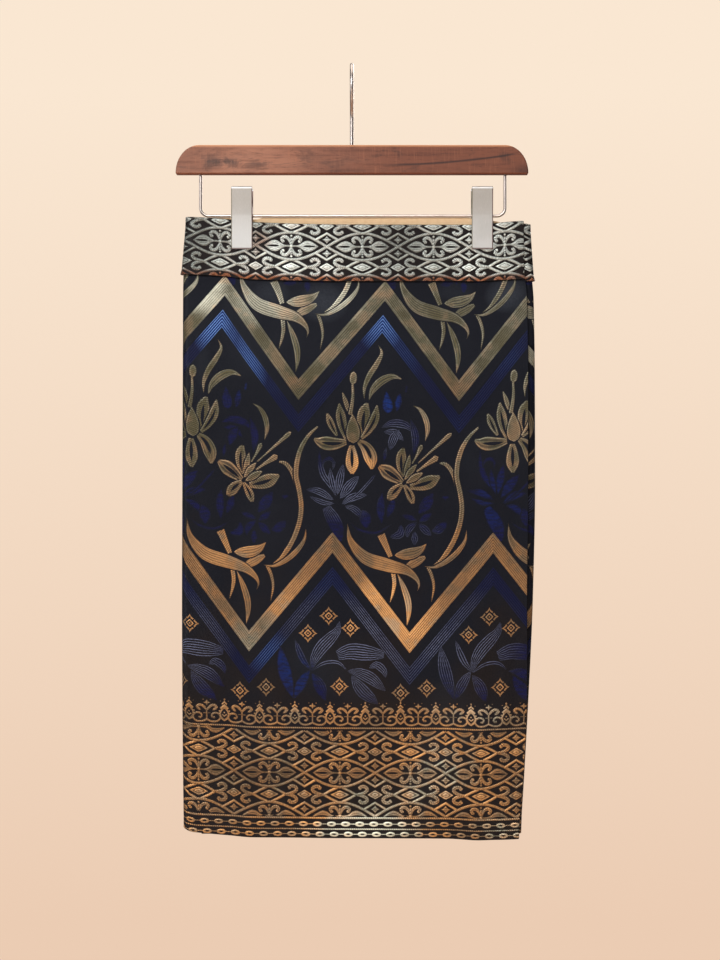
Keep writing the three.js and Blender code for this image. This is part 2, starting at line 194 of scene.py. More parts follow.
# creases: layer, x, z, lean (x for each z), half width, half length, depth out of the layer
creases = [("front", -95, -250, 0.25, 9, 34, 0.5), ("front", -60, -262, -0.30, 7, 22, -0.4),
           ("front", -146, -300, 0.06, 8, 70, 0.6), ("front", 118, -262, -0.22, 10, 40, 0.5),
           ("front", 60, -300, 0.10, 13, 60, -0.5), ("front", -20, -420, 0.05, 16, 120, 0.6),
           ("front", 112, -470, -0.06, 12, 110, -0.6), ("front", -118, -520, 0.04, 14, 130, -0.7),
           ("front", 152, -640, 0.03, 8, 90, 0.7), ("front", -70, -690, -0.05, 11, 80, 0.7),
           ("front", 28, -700, 0.04, 12, 95, -0.6), ("front", 90, -735, 0.08, 9, 52, 0.6),
           ("back", -120, -262, -0.20, 9, 38, 0.6), ("back", 96, -268, 0.26, 10, 44, 0.7),
           ("back", 132, -300, -0.12, 8, 60, -0.5), ("back", -40, -400, 0.05, 15, 120, 0.8),
           ("back", 50, -520, -0.07, 13, 120, 0.9), ("back", -110, -600, 0.05, 12, 110, -0.8),
           ("back", 5, -680, 0.03, 10, 90, -0.7), ("back", 128, -690, -0.04, 12, 95, 0.8),
           ("under", 160, -420, 0.03, 9, 90, 0.4), ("under", 60, -560, -0.03, 14, 120, 0.6)]


def soft(value, low, high):
    share = np.clip((value - low) / (high - low), 0, 1)
    return share * share * (3 - 2 * share)


def curve(rows, column=1):
    # a smooth line through a table's rows, sampled once
    rows = np.array(sorted(rows), float)
    at, value = rows[:, 0], rows[:, column]
    step = np.diff(at)
    slope = np.diff(value) / step
    lean = np.zeros(len(at))
    for i, (before, after) in enumerate(zip(slope, slope[1:]), 1):
        if before * after > 0:
            lean[i] = 2 * before * after / (before + after)
    fine = np.linspace(at[0], at[-1], 700)
    i = np.clip(np.searchsorted(at, fine) - 1, 0, len(step) - 1)
    t = (fine - at[i]) / step[i]
    line = ((2 * t ** 3 - 3 * t ** 2 + 1) * value[i] + (t ** 3 - 2 * t ** 2 + t) * step[i] * lean[i]
            + (3 * t ** 2 - 2 * t ** 3) * value[i + 1] + (t ** 3 - t ** 2) * step[i] * lean[i + 1])
    return lambda where: np.interp(where, fine, line)


leftEdge, rightEdge, flapEdge = (curve(edgeRows, column) for column in (1, 2, 3))
frontDepth, underDepth, backDepth = (curve(depthRows, column) for column in (1, 2, 3))
frontTop, backTop, bandDrop = curve(frontWaist), curve(backWaist), curve(bandHeight)
backFoot, lift = curve(backHem), curve(hemLift)


def foldPlaces(z):
    # the two folds' centres and the runs at which the folds start and end, for each height
    reach = cloth["foldReach"]
    left = leftEdge(z) + cloth["wall"] / 2 + reach
    right = rightEdge(z) - cloth["wall"] / 2 - reach
    bends = []
    for near in (frontDepth(z), underDepth(z)):
        rise = (backDepth(z) - near) / 2
        bends.append(math.pi * np.sqrt((reach ** 2 + rise ** 2) / 2))
    first = -left
    second = first + bends[0]
    third = second + right - left
    return left, right, first, second, third, third + bends[1]


def middle(run, z):
    # where the middle of the wrap lies. The run starts at x = 0 on the front and grows round the left fold.
    left, right, first, second, third, last = foldPlaces(z)
    reach = cloth["foldReach"]
    onFront, onLeft, onBack, onRight = layers = [run < end for end in (first, second, third, last)]
    turnL = math.pi * (run - first) / (second - first)
    turnR = math.pi * (last - run) / (last - third)
    x = np.select(layers, [-run, left - reach * np.sin(turnL), left + run - second,
                           right + reach * np.sin(turnR)], right - (run - last))
    yF, yU, yB = frontDepth(z), underDepth(z), backDepth(z)
    y = np.select(layers, [yF, (yF + yB) / 2 - (yB - yF) / 2 * np.cos(turnL), yB,
                           (yU + yB) / 2 - (yB - yU) / 2 * np.cos(turnR)], yU)
    # flutes of two lengths grow down the cloth, and creases lie on them
    grown = soft(-z, -flutes["startZ"], -flutes["fullZ"])
    wave = sum(share * np.sin(x / long + phase) for long, phase, share in flutes["waves"])
    settle = soft(np.minimum(x - left, right - x), 0, flutes["clear"])
    flat = np.select(layers, [1, 0, 1, 0], 1)
    bulge = np.zeros_like(x)
    below = soft(-z, -flutes["creasesFrom"], -flutes["creasesFull"])
    for layer, atX, atZ, lean, wide, high, depth in creases:
        mine = {"front": onFront, "back": onBack & ~onLeft, "under": ~onRight}[layer]
        across = (x - atX - lean * (z - atZ)) / wide
        down = (z - atZ) / high
        bulge += mine * depth * np.exp(-across ** 2) * np.exp(-down ** 2) * below
    out = np.where(onFront | ~onRight, -1, 1)
    y = y + flat * settle * (flutes["rise"] * grown * wave + out * bulge)
    return np.stack([x, y, z * np.ones_like(x)], -1)


def lieAt(run, z, offset):
    # points moved out from the middle of the wrap, and the way that the outer side looks
    d = 0.05
    along = middle(run + d, z) - middle(run - d, z)
    up = middle(run, z + d) - middle(run, z - d)
    out = np.cross(up, along)
    out /= np.linalg.norm(out, axis=-1, keepdims=True)
    return middle(run, z) + out * np.reshape(offset, (-1, 1)), out


def around(run, z, front, back, under):
    # a line that passes softly from layer to layer round the folds
    _, _, first, second, third, last = foldPlaces(z)
    x = middle(run, np.full(len(run), z))[:, 0]
    toBack, toUnder = soft(run, first, second), soft(run, third, last)
    line = front(x) * (1 - toBack) + back(x) * toBack
    return line * (1 - toUnder) + under(x) * toUnder


def waistLine(run, dip=springDip["depth"]):
    def back(x):
        nearest = np.minimum(abs(x - clipPlaces["left"]), abs(x - clipPlaces["right"]))
        return backTop(x) - dip * (1 - soft(nearest, springDip["within"], springDip["past"]))

    def under(x):
        return np.minimum(frontTop(x) - underLay["waistBelow"], underLay["waist"])
    return around(run, waistZ, frontTop, back, under)


def hemLine(run):
    def front(x):
        return frontTop(x) - cloth["drop"] + lift(x)
    return around(run, hemZ, front, backFoot, lambda x: np.full(len(x), underLay["hem"]))


ground, gold, blue, quiet, reverse = range(5)
allOver, aboveBorder = (-1e3, 1e3), (120.0, 1e3)
quarters = [(a, b) for a in (-1, 1) for b in (-1, 1)]
quarterTurn = 1.5708


def grow(s, first, rate):
    return first + (1 - first) * np.sin(quarterTurn * np.clip(s * rate, 0, 1))


def roundOff(s, start):
    # a round tip from a share of the length on
    return np.sqrt(np.clip(1 - ((s - start) / (1 - start)) ** 2 * (s > start), 0, 1))


# how a figure's width grows and narrows along its length
forms = {
    "leaf": lambda s: np.sin(np.pi * s) ** 0.8,
    "sickle": lambda s: np.sin(np.pi * s) ** 1.1,
    "fan": lambda s: np.sin(np.pi * (0.16 + 0.74 * s)) ** 0.8,
    "lobe": lambda s: np.where(s < 0.55, 0.4 + 0.6 * np.sin(quarterTurn * s / 0.55),
                               np.cos(quarterTurn * np.clip((s - 0.55) / 0.45, 0, 1)) ** 1.2),
    "wing": lambda s: np.sin(np.pi * s ** 0.8) ** 0.9,
    "spade": lambda s: np.interp(s, (0, 0.26, 0.36, 0.48, 0.62, 0.76, 0.9, 1),
                                 (0.15, 0.16, 0.44, 0.86, 1, 0.8, 0.36, 0)),
    "drop": lambda s: 2.6 * np.sqrt(s) * (1 - s),
    "stalk": lambda s: 1 - 0.45 * s,
    "spike": lambda s: (1 - s ** 2.4) ** 0.9,
    "paddle": lambda s: (0.3 + 0.7 * s ** 1.6) * roundOff(s, 0.88),
    "hook": lambda s: grow(s, 0.5, 2) * roundOff(s, 0.92),
    "stem": lambda s: grow(s, 0.45, 4) * (1 - 0.85 * np.clip(s * 9 - 8, 0, 1)),
    "bar": lambda s: np.ones_like(s),
    "diamond": lambda s: 1 - abs(2 * s - 1),
    "disc": lambda s: np.sqrt(np.clip(1 - (2 * s - 1) ** 2, 0, 1)),
}


class Cartoon:
    # the weaver's plan: figures on the flat cloth, later ones over earlier ones
    def __init__(self):
        self.figures = []
        self.at = (0, 0)          # the place that points are counted from
        self.within = allOver     # the heights that new figures keep to

    def outline(self, line, right, left, halves, thread, lines, upright=0.0):
        ring = []
        for p in (*right, *left[::-1]):
            if not ring or math.dist(p, ring[-1]) > 0.02 and math.dist(p, ring[0]) > 0.02:
                ring.append(tuple(p))
        self.figures.append({"ring": ring, "line": line, "halves": np.maximum(halves, 0.15), "thread": thread,
                             "lines": lines, "within": self.within, "upright": upright})

    def strip(self, line, wide, form="bar", thread=gold, ribs=0, rungs=0.0):
        # a strip along a line on the cloth: ribs run along it, rungs across it
        gone = np.concatenate([[0], np.cumsum(np.linalg.norm(np.diff(line, axis=0), axis=1))])
        halves = wide / 2 * np.clip(forms[form](gone / gone[-1]), 0, None)
        way = np.gradient(line, axis=0)
        way /= np.linalg.norm(way, axis=1, keepdims=True)
        side = np.stack([-way[:, 1], way[:, 0]], 1) * halves[:, None]
        self.outline(line, line - side, line + side, halves, thread, (ribs, rungs))
        return line

    def ribbon(self, points, wide, form="bar", **more):
        self.strip(np.add(points, self.at), wide, form, **more)

    def blade(self, start, end, wide, form="leaf", fine=2.0, **more):
        # a straight strip between two points
        start, end = np.add(start, self.at), np.add(end, self.at)
        count = max(6, int(np.linalg.norm(end - start) / fine))
        s = (1 - np.cos(np.pi * np.arange(count + 1) / count)) / 2
        self.strip(start + np.outer(s, end - start), wide, form, **more)

    def through(self, points, wide, form="bar", fine=2.4, **more):
        # a strip along a smooth line through a few points
        points = np.add(points, self.at)
        ends = np.vstack([2 * points[0] - points[1], points, 2 * points[-1] - points[-2]])
        line = []
        for a, b, c, d in zip(ends, ends[1:], ends[2:], ends[3:]):
            steps = max(2, int(np.linalg.norm(c - b) / fine))
            for t in np.arange(steps) / steps:
                line.append(0.5 * (2 * b + (c - a) * t + (2 * a - 5 * b + 4 * c - d) * t ** 2
                                   + (3 * b - a - 3 * c + d) * t ** 3))
        return self.strip(np.array(line + [points[-1]]), wide, form, **more)

    def spot(self, x, v, wide, high, form="disc", count=4, **more):
        x, v = self.at[0] + x, self.at[1] + v
        line = np.array([(x + wide * (i / count - 0.5), v) for i in range(count + 1)])
        self.strip(line, high, form, **more)

    def nest(self, wide, high):
        # a diamond with a thin dark ring round its core
        for share, thread in ((1, gold), (0.60, ground), (0.53, gold)):
            self.spot(0, 0, wide * share, high * share, "diamond", 2, thread=thread)


# The field's figures from a chevron's lowest point: form, width, ribs along, rungs' pitch, slit, line
flowers = [
    ("stalk", 8.2, 0, 2.0, 0, [(-28.4, 118.5), (-18.9, 96.6)]),
    ("spike", 4.4, 0, 2.2, 0, [(-16.3, 80), (-15.2, 70), (-16.8, 60), (-19.6, 50.4)]),
    ("leaf", 6.6, 2, 0, 0, [(-12.4, 80), (-6, 66), (-1.6, 52), (-0.9, 40), (-2.7, 27.7)]),
    ("fan", 8.6, 4, 0, 0, [(-3.5, 85.5), (6, 91), (15.5, 96.5)]),
    ("wing", 11.4, 4, 0, 0, [(-14.8, 98), (-4, 98.8), (5.3, 101), (12, 104.6), (17, 109.8)]),
    ("sickle", 13.6, 6, 0, 0, [(-62, 130), (-58.5, 112), (-44, 95.5), (-22, 88), (-4, 83.2), (6.5, 75),
                               (9.5, 67.5), (7.5, 62)]),
    ("spike", 3.5, 0, 2.2, 0, [(18.3, 86), (21.9, 78), (24.1, 66), (21.7, 50.9)]),
    ("leaf", 5.2, 2, 0, 0, [(56.8, 124), (55.5, 114), (50, 104.5), (42, 96), (33, 89.6), (24, 86),
                            (14.7, 87)]),
    ("stem", 4.4, 0, 2.2, 0, [(30.2, 189.3), (36, 188), (41.5, 182), (45.5, 173), (48.5, 162)]),
    ("stem", 5.0, 0, 2.2, 0, [(68.4, 224.7), (60, 216.5), (52.5, 204.5), (48, 190), (47, 176), (50, 162),
                              (52, 148), (51, 134), (47, 120), (41, 107), (32.5, 95), (24, 88.5)]),
    ("leaf", 5.4, 2, 0, 0, [(3.7, 246.1), (10.5, 242), (16, 233), (18, 222), (15.5, 210.5)]),
    ("leaf", 5.9, 0, 2.1, 0, [(-45.1, 252), (-45, 263), (-40.5, 275), (-33, 287), (-28, 297), (-28.5, 302),
                              (-31.3, 306.5)]),
    ("leaf", 8.2, 3, 0, 0, [(-40.5, 251), (-38, 259), (-32, 267), (-24.5, 272.5), (-16, 275), (-7.4, 272.3)]),
    ("leaf", 4.9, 0, 2.1, 0, [(-59.7, 236), (-62.8, 247), (-67.2, 259.6)]),
    ("stalk", 4.4, 0, 2.1, 0, [(-59.2, 237), (-57, 249.7), (-56.5, 258.5), (-56.9, 268)]),
    ("disc", 7.6, 0, 2.1, 0, [(-56.6, 266.2), (-56, 272.5), (-55.8, 280)]),
    ("lobe", 13.2, 0, 2.1, 1, [(-46.4, 216.5), (-46.4, 229), (-44.8, 241), (-41.2, 251.5)]),
    ("lobe", 9.6, 0, 2.1, 1, [(-47.8, 213.5), (-41, 221.5), (-34.7, 233), (-31.8, 249)]),
    ("lobe", 10.4, 0, 2.1, 1, [(-63, 212.5), (-66.5, 225), (-69, 238), (-70.4, 250.7)]),
    ("lobe", 7.4, 0, 2.1, 1, [(-72.4, 216), (-78, 227), (-83.2, 240.5)]),
    ("lobe", 13.8, 2, 0, 1, [(-63, 209.6), (-76, 208), (-88, 209.4), (-97.3, 213.5)]),
    ("lobe", 13.6, 4, 0, 1, [(-50.6, 210.6), (-43.2, 204), (-38.6, 194), (-37.3, 180.5)]),
    ("lobe", 13.2, 0, 2.1, 1, [(-57.6, 206.4), (-57.4, 194), (-57.1, 175.6)]),
    ("drop", 14.0, 0, 2.0, 0, [(-56.1, 208.6), (-56.4, 223), (-56.9, 238)]),
    ("lobe", 10.8, 0, 2.1, 1, [(-7, 176), (-8.4, 188), (-7.8, 198.5), (-4.6, 207)]),
    ("leaf", 5.8, 0, 2.1, 0, [(-5.8, 176), (-1.8, 187), (0.2, 197.8)]),
    ("lobe", 14.2, 2, 0, 1, [(-7.2, 170.4), (-19.3, 178.9), (-33, 187.7)]),
    ("lobe", 10.6, 0, 2.1, 1, [(-7.2, 168.8), (-15, 161.5), (-22.9, 151)]),
    ("lobe", 8.4, 0, 2.1, 1, [(-5.2, 167.8), (0.5, 158), (4.3, 146.7)]),
    ("lobe", 13.6, 0, 2.1, 1, [(0.6, 165.8), (17, 169.8), (32.4, 177.3)]),
    ("leaf", 6.1, 0, 2.1, 0, [(-5.4, 172.4), (1, 181), (7.5, 188.4)]),
    ("leaf", 7.1, 0, 2.1, 0, [(-3.8, 169.4), (5, 175), (13.6, 180)]),
    ("paddle", 5.6, 0, 2.1, 0, [(2.5, 188.7), (7.5, 197), (12.6, 207.4)]),
    ("paddle", 5.2, 0, 2.1, 0, [(8.6, 189.3), (24, 203), (42, 219)]),
    ("paddle", 7.2, 0, 2.1, 0, [(7.3, 181), (17, 188), (28.6, 195.4)]),
]
rosettePlaces = [(58.8, 19.4), (79.4, 37), (101, 25), (-69.9, -33.5), (-9, -39.6), (17.1, -35)]

# The quiet leaves that show only by their lustre: form, width, ribs, line. The first ones lie under the
# lowest chevron only.
quietLeaves = [
    ("fan", 18, 7, [(-71.9, -2.5), (-59.4, 1.5), (-47.8, 0.8), (-36.2, -0.5), (-25.4, -1.5)]),
    ("leaf", 14, 6, [(-97.6, -18.4), (-95.1, -7.1), (-88.5, 4.5), (-79.3, 14.4), (-71.9, 22.7),
                     (-69.7, 31.9)]),
    ("leaf", 5, 2, [(-97.6, -18.4), (-87.7, -11.3), (-77.7, -8.8), (-69.4, -10.5), (-62.7, -17.1)]),
    ("leaf", 13, 6, [(-61.9, -17.9), (-51.1, -19.6), (-39.5, -24.6), (-30.4, -32), (-23.7, -37.8)]),
    ("leaf", 14, 6, [(-57.8, -22), (-52.8, -30.4), (-46.1, -38.7), (-37.8, -45.3), (-31.2, -51.1)]),
    ("leaf", 9, 4, [(-40.5, -15.4), (-33.7, -11.8), (-27.9, -15.1), (-24.9, -19.6), (-23.7, -24.7)]),
    ("leaf", 14, 6, [(-129.1, 7), (-126, -12.1), (-121.7, -28.7), (-115.5, -46.3)]),
    ("leaf", 11, 5, [(-99, -16.9), (-107.6, -30.4), (-115.2, -46.3)]),
    ("leaf", 13, 6, [(-97.6, -20.4), (-90.1, -32), (-83.5, -48)]),
    ("leaf", 8, 3, [(-114.2, 12.8), (-110, 1.2), (-105, -8.8), (-97.6, -17.9)]),
    ("leaf", 7, 3, [(-90.1, 203.2), (-89.5, 192), (-86.4, 178.3), (-78.9, 167.1), (-73.3, 157.1)]),
    ("leaf", 5, 3, [(-87, 184), (-85.6, 190.6), (-80, 193.6), (-75.4, 189.4), (-76.6, 182.6)]),
    ("leaf", 9, 4, [(-65.9, 188.2), (-69, 175.8), (-72.1, 158)]),
    ("leaf", 7, 3, [(-79.2, 184), (-77.8, 172), (-74, 158)]),
    ("leaf", 11, 5, [(-50.3, 176.5), (-59, 167.8), (-69.4, 154.6)]),
    ("leaf", 9, 4, [(-67.5, 149.3), (-56, 156), (-42.3, 158.1)]),
    ("leaf", 8, 4, [(-103.4, 162.7), (-90.1, 161.2), (-75.5, 152.8)]),
    ("leaf", 6, 3, [(-99.4, 155.9), (-86.2, 150.5), (-75.2, 149.6)]),
    ("leaf", 8, 4, [(-64.8, 147.1), (-55, 144), (-44.8, 134)]),
    ("fan", 15, 7, [(-83.1, 145.9), (-76.9, 134.7), (-71.9, 124.7), (-69.4, 112)]),
    ("stem", 3.6, 2, [(-65.7, 149), (-50.7, 159.6), (-33.5, 178.3)]),
    ("leaf", 13, 6, [(-47.6, 143.5), (-44.3, 136), (-43.3, 124.6)]),
    ("leaf", 9.6, 4, [(-27.1, 160.6), (-28.9, 146), (-27.7, 129.2)]),
    ("leaf", 9, 4, [(-15.1, 155.6), (-18.6, 145.2), (-22.4, 135.7)]),
    ("leaf", 13, 6, [(23.5, 160.4), (17.2, 150.2), (8.8, 139.2)]),
    ("leaf", 7, 3, [(-8.2, 138.2), (0.5, 135.8), (7.5, 133)]),
    ("leaf", 8, 4, [(7.5, 131.7), (-1, 124), (-2.4, 115.5)]),
    ("leaf", 8, 4, [(9.3, 131.2), (22.5, 140.6)]),
    ("leaf", 9, 4, [(9, 130), (21.7, 117.5)]),
    ("leaf", 11, 5, [(21.7, 122.3), (29, 124), (37.2, 131.5)]),
    ("leaf", 8, 4, [(5.2, 122), (4.9, 108)]),
    ("leaf", 4.2, 2, [(-61, 132), (-50, 123.5), (-33.5, 120.6), (-17, 129.5)]),
    ("leaf", 9, 4, [(-8.9, 129), (-9.2, 119.5), (-19.9, 116)]),
    ("drop", 11.5, 4, [(-21.1, 238.3), (-23.4, 261)]),
    ("leaf", 8, 3, [(-13, 240), (-9.2, 259)]),
    ("leaf", 4, 2, [(-4, 258), (-2.6, 267)]),
    ("leaf", 9.4, 4, [(-28.1, 224.1), (-16.6, 228.6), (-3.2, 226.4), (4.5, 218.9)]),
    ("leaf", 8, 4, [(-26, 220), (-14, 219), (-6, 211)]),
    ("leaf", 10, 5, [(-10.2, 222.3), (-16.1, 213.4), (-19.6, 201.9)]),
    ("leaf", 9, 4, [(1, 233), (5.9, 214), (4.1, 197)]),
    ("leaf", 5, 3, [(-23.4, 204.4), (-25.8, 190)]),
    ("diamond", 8, 0, [(31.8, 155.9), (35.8, 155.9), (39.8, 155.9)]),
]
underLowest = 10

fieldLay = {"firstX": 57.6, "firstV": 183.2, "acrossX": 160.0, "nextX": 49.2, "nextV": 250.7, "rise": 100.3,
            "midShift": 3.2, "thick": 20.8, "under": 13.2, "quietThick": 19.5, "fine": 2.4, "hiddenFine": 3.2,
            "hiddenFrom": -260.0, "shade": 1.1, "packedFrom": -175.0, "packed": 1.065}
borderLay = {"ovalX": -11.9, "ovalWide": 70.3, "ovalHigh": 42.4, "rows": (21.6, 64.0, 106.4),
             "within": (21.4, 106.8), "spireX": 13.5, "spireWide": 35.1, "spireV": 110.4,
             "chain": 14.05, "chains": ((3.6, -17.6), (13.8, -20.2)),
             "ropes": ((8.7, 1.4), (19.8, 2.0), (108.7, 1.9))}
bandLay = {"ovalX": -60.4, "ovalV": 34.6, "ovalWide": 71.0, "ovalHigh": 41.8}


def repeats(start, wide, fromX, toX):
    # where a figure that repeats along the cloth stands
    first, last = math.floor((fromX - start) / wide), math.ceil((toX - start) / wide)
    return [start + i * wide for i in range(first, last + 1)]


def zigzag(plan, drop, thick, thread, ribs):
    # a chevron stripe over one repeat, with its upright thickness, each arm by itself
    x, v = plan.at
    rise, shift, half = fieldLay["rise"], fieldLay["midShift"], fieldLay["acrossX"] / 2
    line = np.array([(x - half + shift, v + rise), (x, v), (x + half + shift, v + rise)])
    line += (0, thick / 2 - drop)
    halves = np.full(2, thick / 2 * math.cos(math.atan2(rise, half)))
    for arm in (line[:2], line[1:]):
        plan.outline(arm, arm - (0, thick / 2), arm + (0, thick / 2), halves, thread, (ribs, 0.0), thick / 2)


def rosette(plan, x, v):
    # a diamond ring broken into four pointed corners, with a small diamond and an eye inside
    plan.at = (x, v)
    quarter = [(1, 0), (0.82, 0.07), (0.66, 0.20), (0.52, 0.40), (0.40, 0.52), (0.20, 0.66), (0.07, 0.82)]
    for size, thread in ((19.0, gold), (14.4, ground)):
        r = size / 2
        ring = []
        for _ in range(4):
            ring += [(x + r * a, v + r * b) for a, b in quarter]
            quarter = [(-b, a) for a, b in quarter]
        plan.outline(np.add([(-r, 0), (0, 0), (r, 0)], plan.at), ring, [], np.full(3, 99.0), thread, (0, 0.0))
    for a, b in ((1, 1), (-1, 1), (-1, -1), (1, -1)):
        plan.ribbon(np.multiply([(3.2, 3.2), (4, 4), (5.6, 5.6)], (a, b)), 1.2, thread=ground)
    for size, thread in ((8.2, gold), (4.8, ground), (2.0, gold)):
        plan.spot(0, 0, size, size, "diamond", 2, thread=thread)


def quietFigures(plan, fine, lowest):
    # the leaves that show by their lustre, then the two stripes of the chevron
    for form, wide, ribs, line in quietLeaves[0 if lowest else underLowest:]:
        plan.through(line, wide, form, fine, thread=quiet, ribs=ribs)
    zigzag(plan, fieldLay["under"] + fieldLay["quietThick"], fieldLay["quietThick"], blue, 6)
    zigzag(plan, 0, fieldLay["thick"], gold, 7)


def flowerFigures(plan, fine, lowest):
    for form, wide, ribs, rungs, slit, points in flowers:
        # a thin line of ground round each figure, painted shade between the figures, keeps them apart
        plan.through(points, wide + 2 * fieldLay["shade"], form, fine * 1.4, thread=ground)
        line = plan.through(points, wide, form, fine, ribs=ribs, rungs=rungs)
        if slit:
            plan.strip(line[1:int(len(line) * 0.78)], wide * 0.26, "leaf", thread=ground)
    x, v = plan.at
    for dx, dv in rosettePlaces if lowest else ():
        rosette(plan, x + dx, v + dv)


def star(plan, x, v):
    # four short rays round a full heart
    plan.at = (x, v)
    plan.blade((-4.4, 0), (4.4, 0), 2.6)
    plan.blade((0, -4.0), (0, 4.0), 2.6)
    plan.spot(0, 0, 7.2, 6.4, "diamond", 2, ribs=2)


def ovalCell(plan, x, v, lay):
    # one repeat of the lattice: a pointed oval with its flower, a lens above it and a scroll pair
    wide, half, above = lay["ovalWide"], lay["ovalWide"] / 2, v + lay["ovalHigh"] / 2
    s = np.linspace(-half, half, 23)
    curl = [(0.6, 1.8), (1.9, 5.7), (4.4, 8.6), (7.5, 9.0), (9.5, 7.2), (8.4, 4.9), (6.3, 5.2)]
    hook = [(19.6, 0.2), (13.6, 1.0), (9.2, 2.8), (7.8, 5.3), (9.6, 7.4), (12.8, 7.9), (15.4, 6.6),
            (14.0, 4.7)]
    for sign in (-1, 1):
        plan.at = (x, v)
        plan.ribbon(np.stack([s, sign * 13.7 * np.cos(math.pi * s / wide)], 1), 2.7, rungs=1.5)
        plan.blade((0, 0), (sign * 27.2, 0), 11.6, "spade", 1.6, ribs=6)
        plan.blade((sign * 12.0, 0), (sign * 24.4, 0), 2.3, thread=ground)
        plan.spot(0, sign * 10.3, 2.4, 2.4)
        for other in (-1, 1):
            plan.through(np.multiply(curl, (sign, other)), 3.5, "hook", 1.8, rungs=1.6)
        plan.at = (x + half, v)
        plan.ribbon([(-11.5, sign * 6.6), (0, sign * 13.4), (11.5, sign * 6.6)], 2.5)
        star(plan, x + half, v + sign * 7.0)
    plan.at = (x, v)
    plan.ribbon([(0, -8.4), (0, 0), (0, 8.4)], 2.2, rungs=3.0)
    plan.spot(0, 0, 3.8, 3.4)
    plan.at = (x, above)
    for quarter in quarters:
        plan.ribbon(np.multiply([(16.2, 0), (9.4, 3.8), (2.5, 6.9)], quarter), 2.5)
    plan.nest(18.8, 8.4)
    plan.at = (x + half, above)
    plan.nest(15.2, 8.8)
    for quarter in quarters:
        plan.through(np.multiply(hook, quarter), 3.6, "hook", 1.8, rungs=1.7)


def spire(plan, x, v):
    # a hollow blade under two roofs and a bead, with beads at its waist and a cup inside
    plan.at = (x, v)
    plan.blade((0, 2.0), (0, 17.4), 10.8, "wing", 1.6)
    plan.blade((0, 4.2), (0, 14.4), 7.0, "leaf", 1.6, thread=ground)
    plan.ribbon([(-2.3, 8.9), (0, 7.0), (2.3, 8.9)], 1.5)
    plan.spot(0, 10.6, 1.9, 1.8)
    plan.ribbon([(-3.7, 14.2), (0, 17.8), (3.7, 14.2)], 2.6)
    plan.ribbon([(-2.5, 18.6), (0, 20.9), (2.5, 18.6)], 1.9)
    plan.spot(0, 23.2, 1.9, 2.6)
    for side in (-1, 1):
        for aside, up, wide, high in ((4.9, 9.4, 2.3, 2.2), (4.8, 12.1, 2.1, 2.1), (4.0, 21.7, 1.2, 1.2)):
            plan.spot(side * aside, up, wide, high)


def fleur(plan, x, v):
    # a stem with a star, two hooked leaves below it and a curl at each side
    plan.at = (x, v)
    plan.ribbon([(0, 3.0), (0, 8), (0, 13.0)], 1.7, rungs=1.3)
    plan.ribbon([(-3.5, 9.8), (0, 9.8), (3.5, 9.8)], 0.8)
    plan.spot(0, 20.0, 5.2, 4.6, "diamond", 2)
    plan.blade((-3.6, 20.0), (3.6, 20.0), 2.1)
    plan.blade((0, 17.0), (0, 23.0), 2.1)
    curl = [(0, 3.6), (3.4, 2.0), (6.8, 1.4), (10.4, 1.9), (13.2, 4.4), (13.3, 7.4), (11.4, 9.6), (8.6, 10.2),
            (5.9, 9.2), (4.9, 7.2), (6.3, 5.4), (8.0, 6.2)]
    leaf = [(0, 12.4), (2.3, 15.4), (5.0, 17.4), (7.8, 17.5), (9.7, 15.8), (8.2, 14.1), (5.6, 12.6)]
    for side in (-1, 1):
        plan.spot(side * 3.6, 22.9, 1.3, 1.3)
        plan.through(np.multiply(curl, (side, 1)), 2.2, "bar", 1.6, rungs=1.5)
        plan.through(np.multiply(leaf, (side, 1)), 2.9, "stem", 1.6, rungs=1.5)


def borderFigures(plan, fromX, toX):
    lay = borderLay
    plan.within = lay["within"]
    for x in repeats(lay["ovalX"], lay["ovalWide"], fromX, toX):
        for v in lay["rows"]:
            ovalCell(plan, x, v, lay)
    plan.within = allOver
    for v, thick in lay["ropes"]:
        plan.at = (0, v)
        plan.ribbon([(x, 0) for x in np.arange(fromX - 5, toX + 5, 12.0)], thick, rungs=2.1)
    for v, startX in lay["chains"]:
        for x in np.arange(repeats(startX, lay["chain"], fromX, toX)[0], toX, lay["chain"]):
            plan.at = (x, v)
            plan.ribbon([(3, 0), (7, 0), (11, 0)], 0.9)
            plan.spot(0, 0, 9.8, 5.1, count=10)
            plan.spot(0, 0, 4.4, 1.7, "leaf", thread=ground)
    for x in repeats(lay["spireX"], lay["spireWide"], fromX, toX):
        fleur(plan, x + lay["spireWide"] / 2, lay["spireV"])
        spire(plan, x, lay["spireV"])


# how much higher than an even repeat the cloth's figures hang: height, rise
drawnUp = ((-60, 0), (31, 0), (61, 0.9), (120, 1), (150, 1.8), (330, 1.7), (385, 3.1), (440, 3.6), (700, 3.6))
# how much lower they hang at the left, and how far the band's pucker draws them aside
leftSag = {"down": 2.4, "fromX": -175, "toX": -110, "fullV": 290, "noneV": 380, "lowV": -20}
pucker = {"aside": 4.0, "v": 546, "high": 24, "fromX": -175, "fullX": -150, "fadeX": 30, "toX": 110}


def settled(points):
    p, v = np.asarray(points, float).T
    sag = leftSag["down"] * (1 - soft(p, leftSag["fromX"], leftSag["toX"]))
    sag = sag * (1 - soft(v, leftSag["fullV"], leftSag["noneV"])) * (v > leftSag["lowV"])
    rise = np.interp(v, *zip(*drawnUp)) - sag
    aside = pucker["aside"] * np.exp(-((v - pucker["v"]) / pucker["high"]) ** 2)
    aside = aside * (1 - soft(p, pucker["fadeX"], pucker["toX"])) * soft(p, pucker["fromX"], pucker["fullX"])
    return np.stack([p + aside, v + rise], 1)


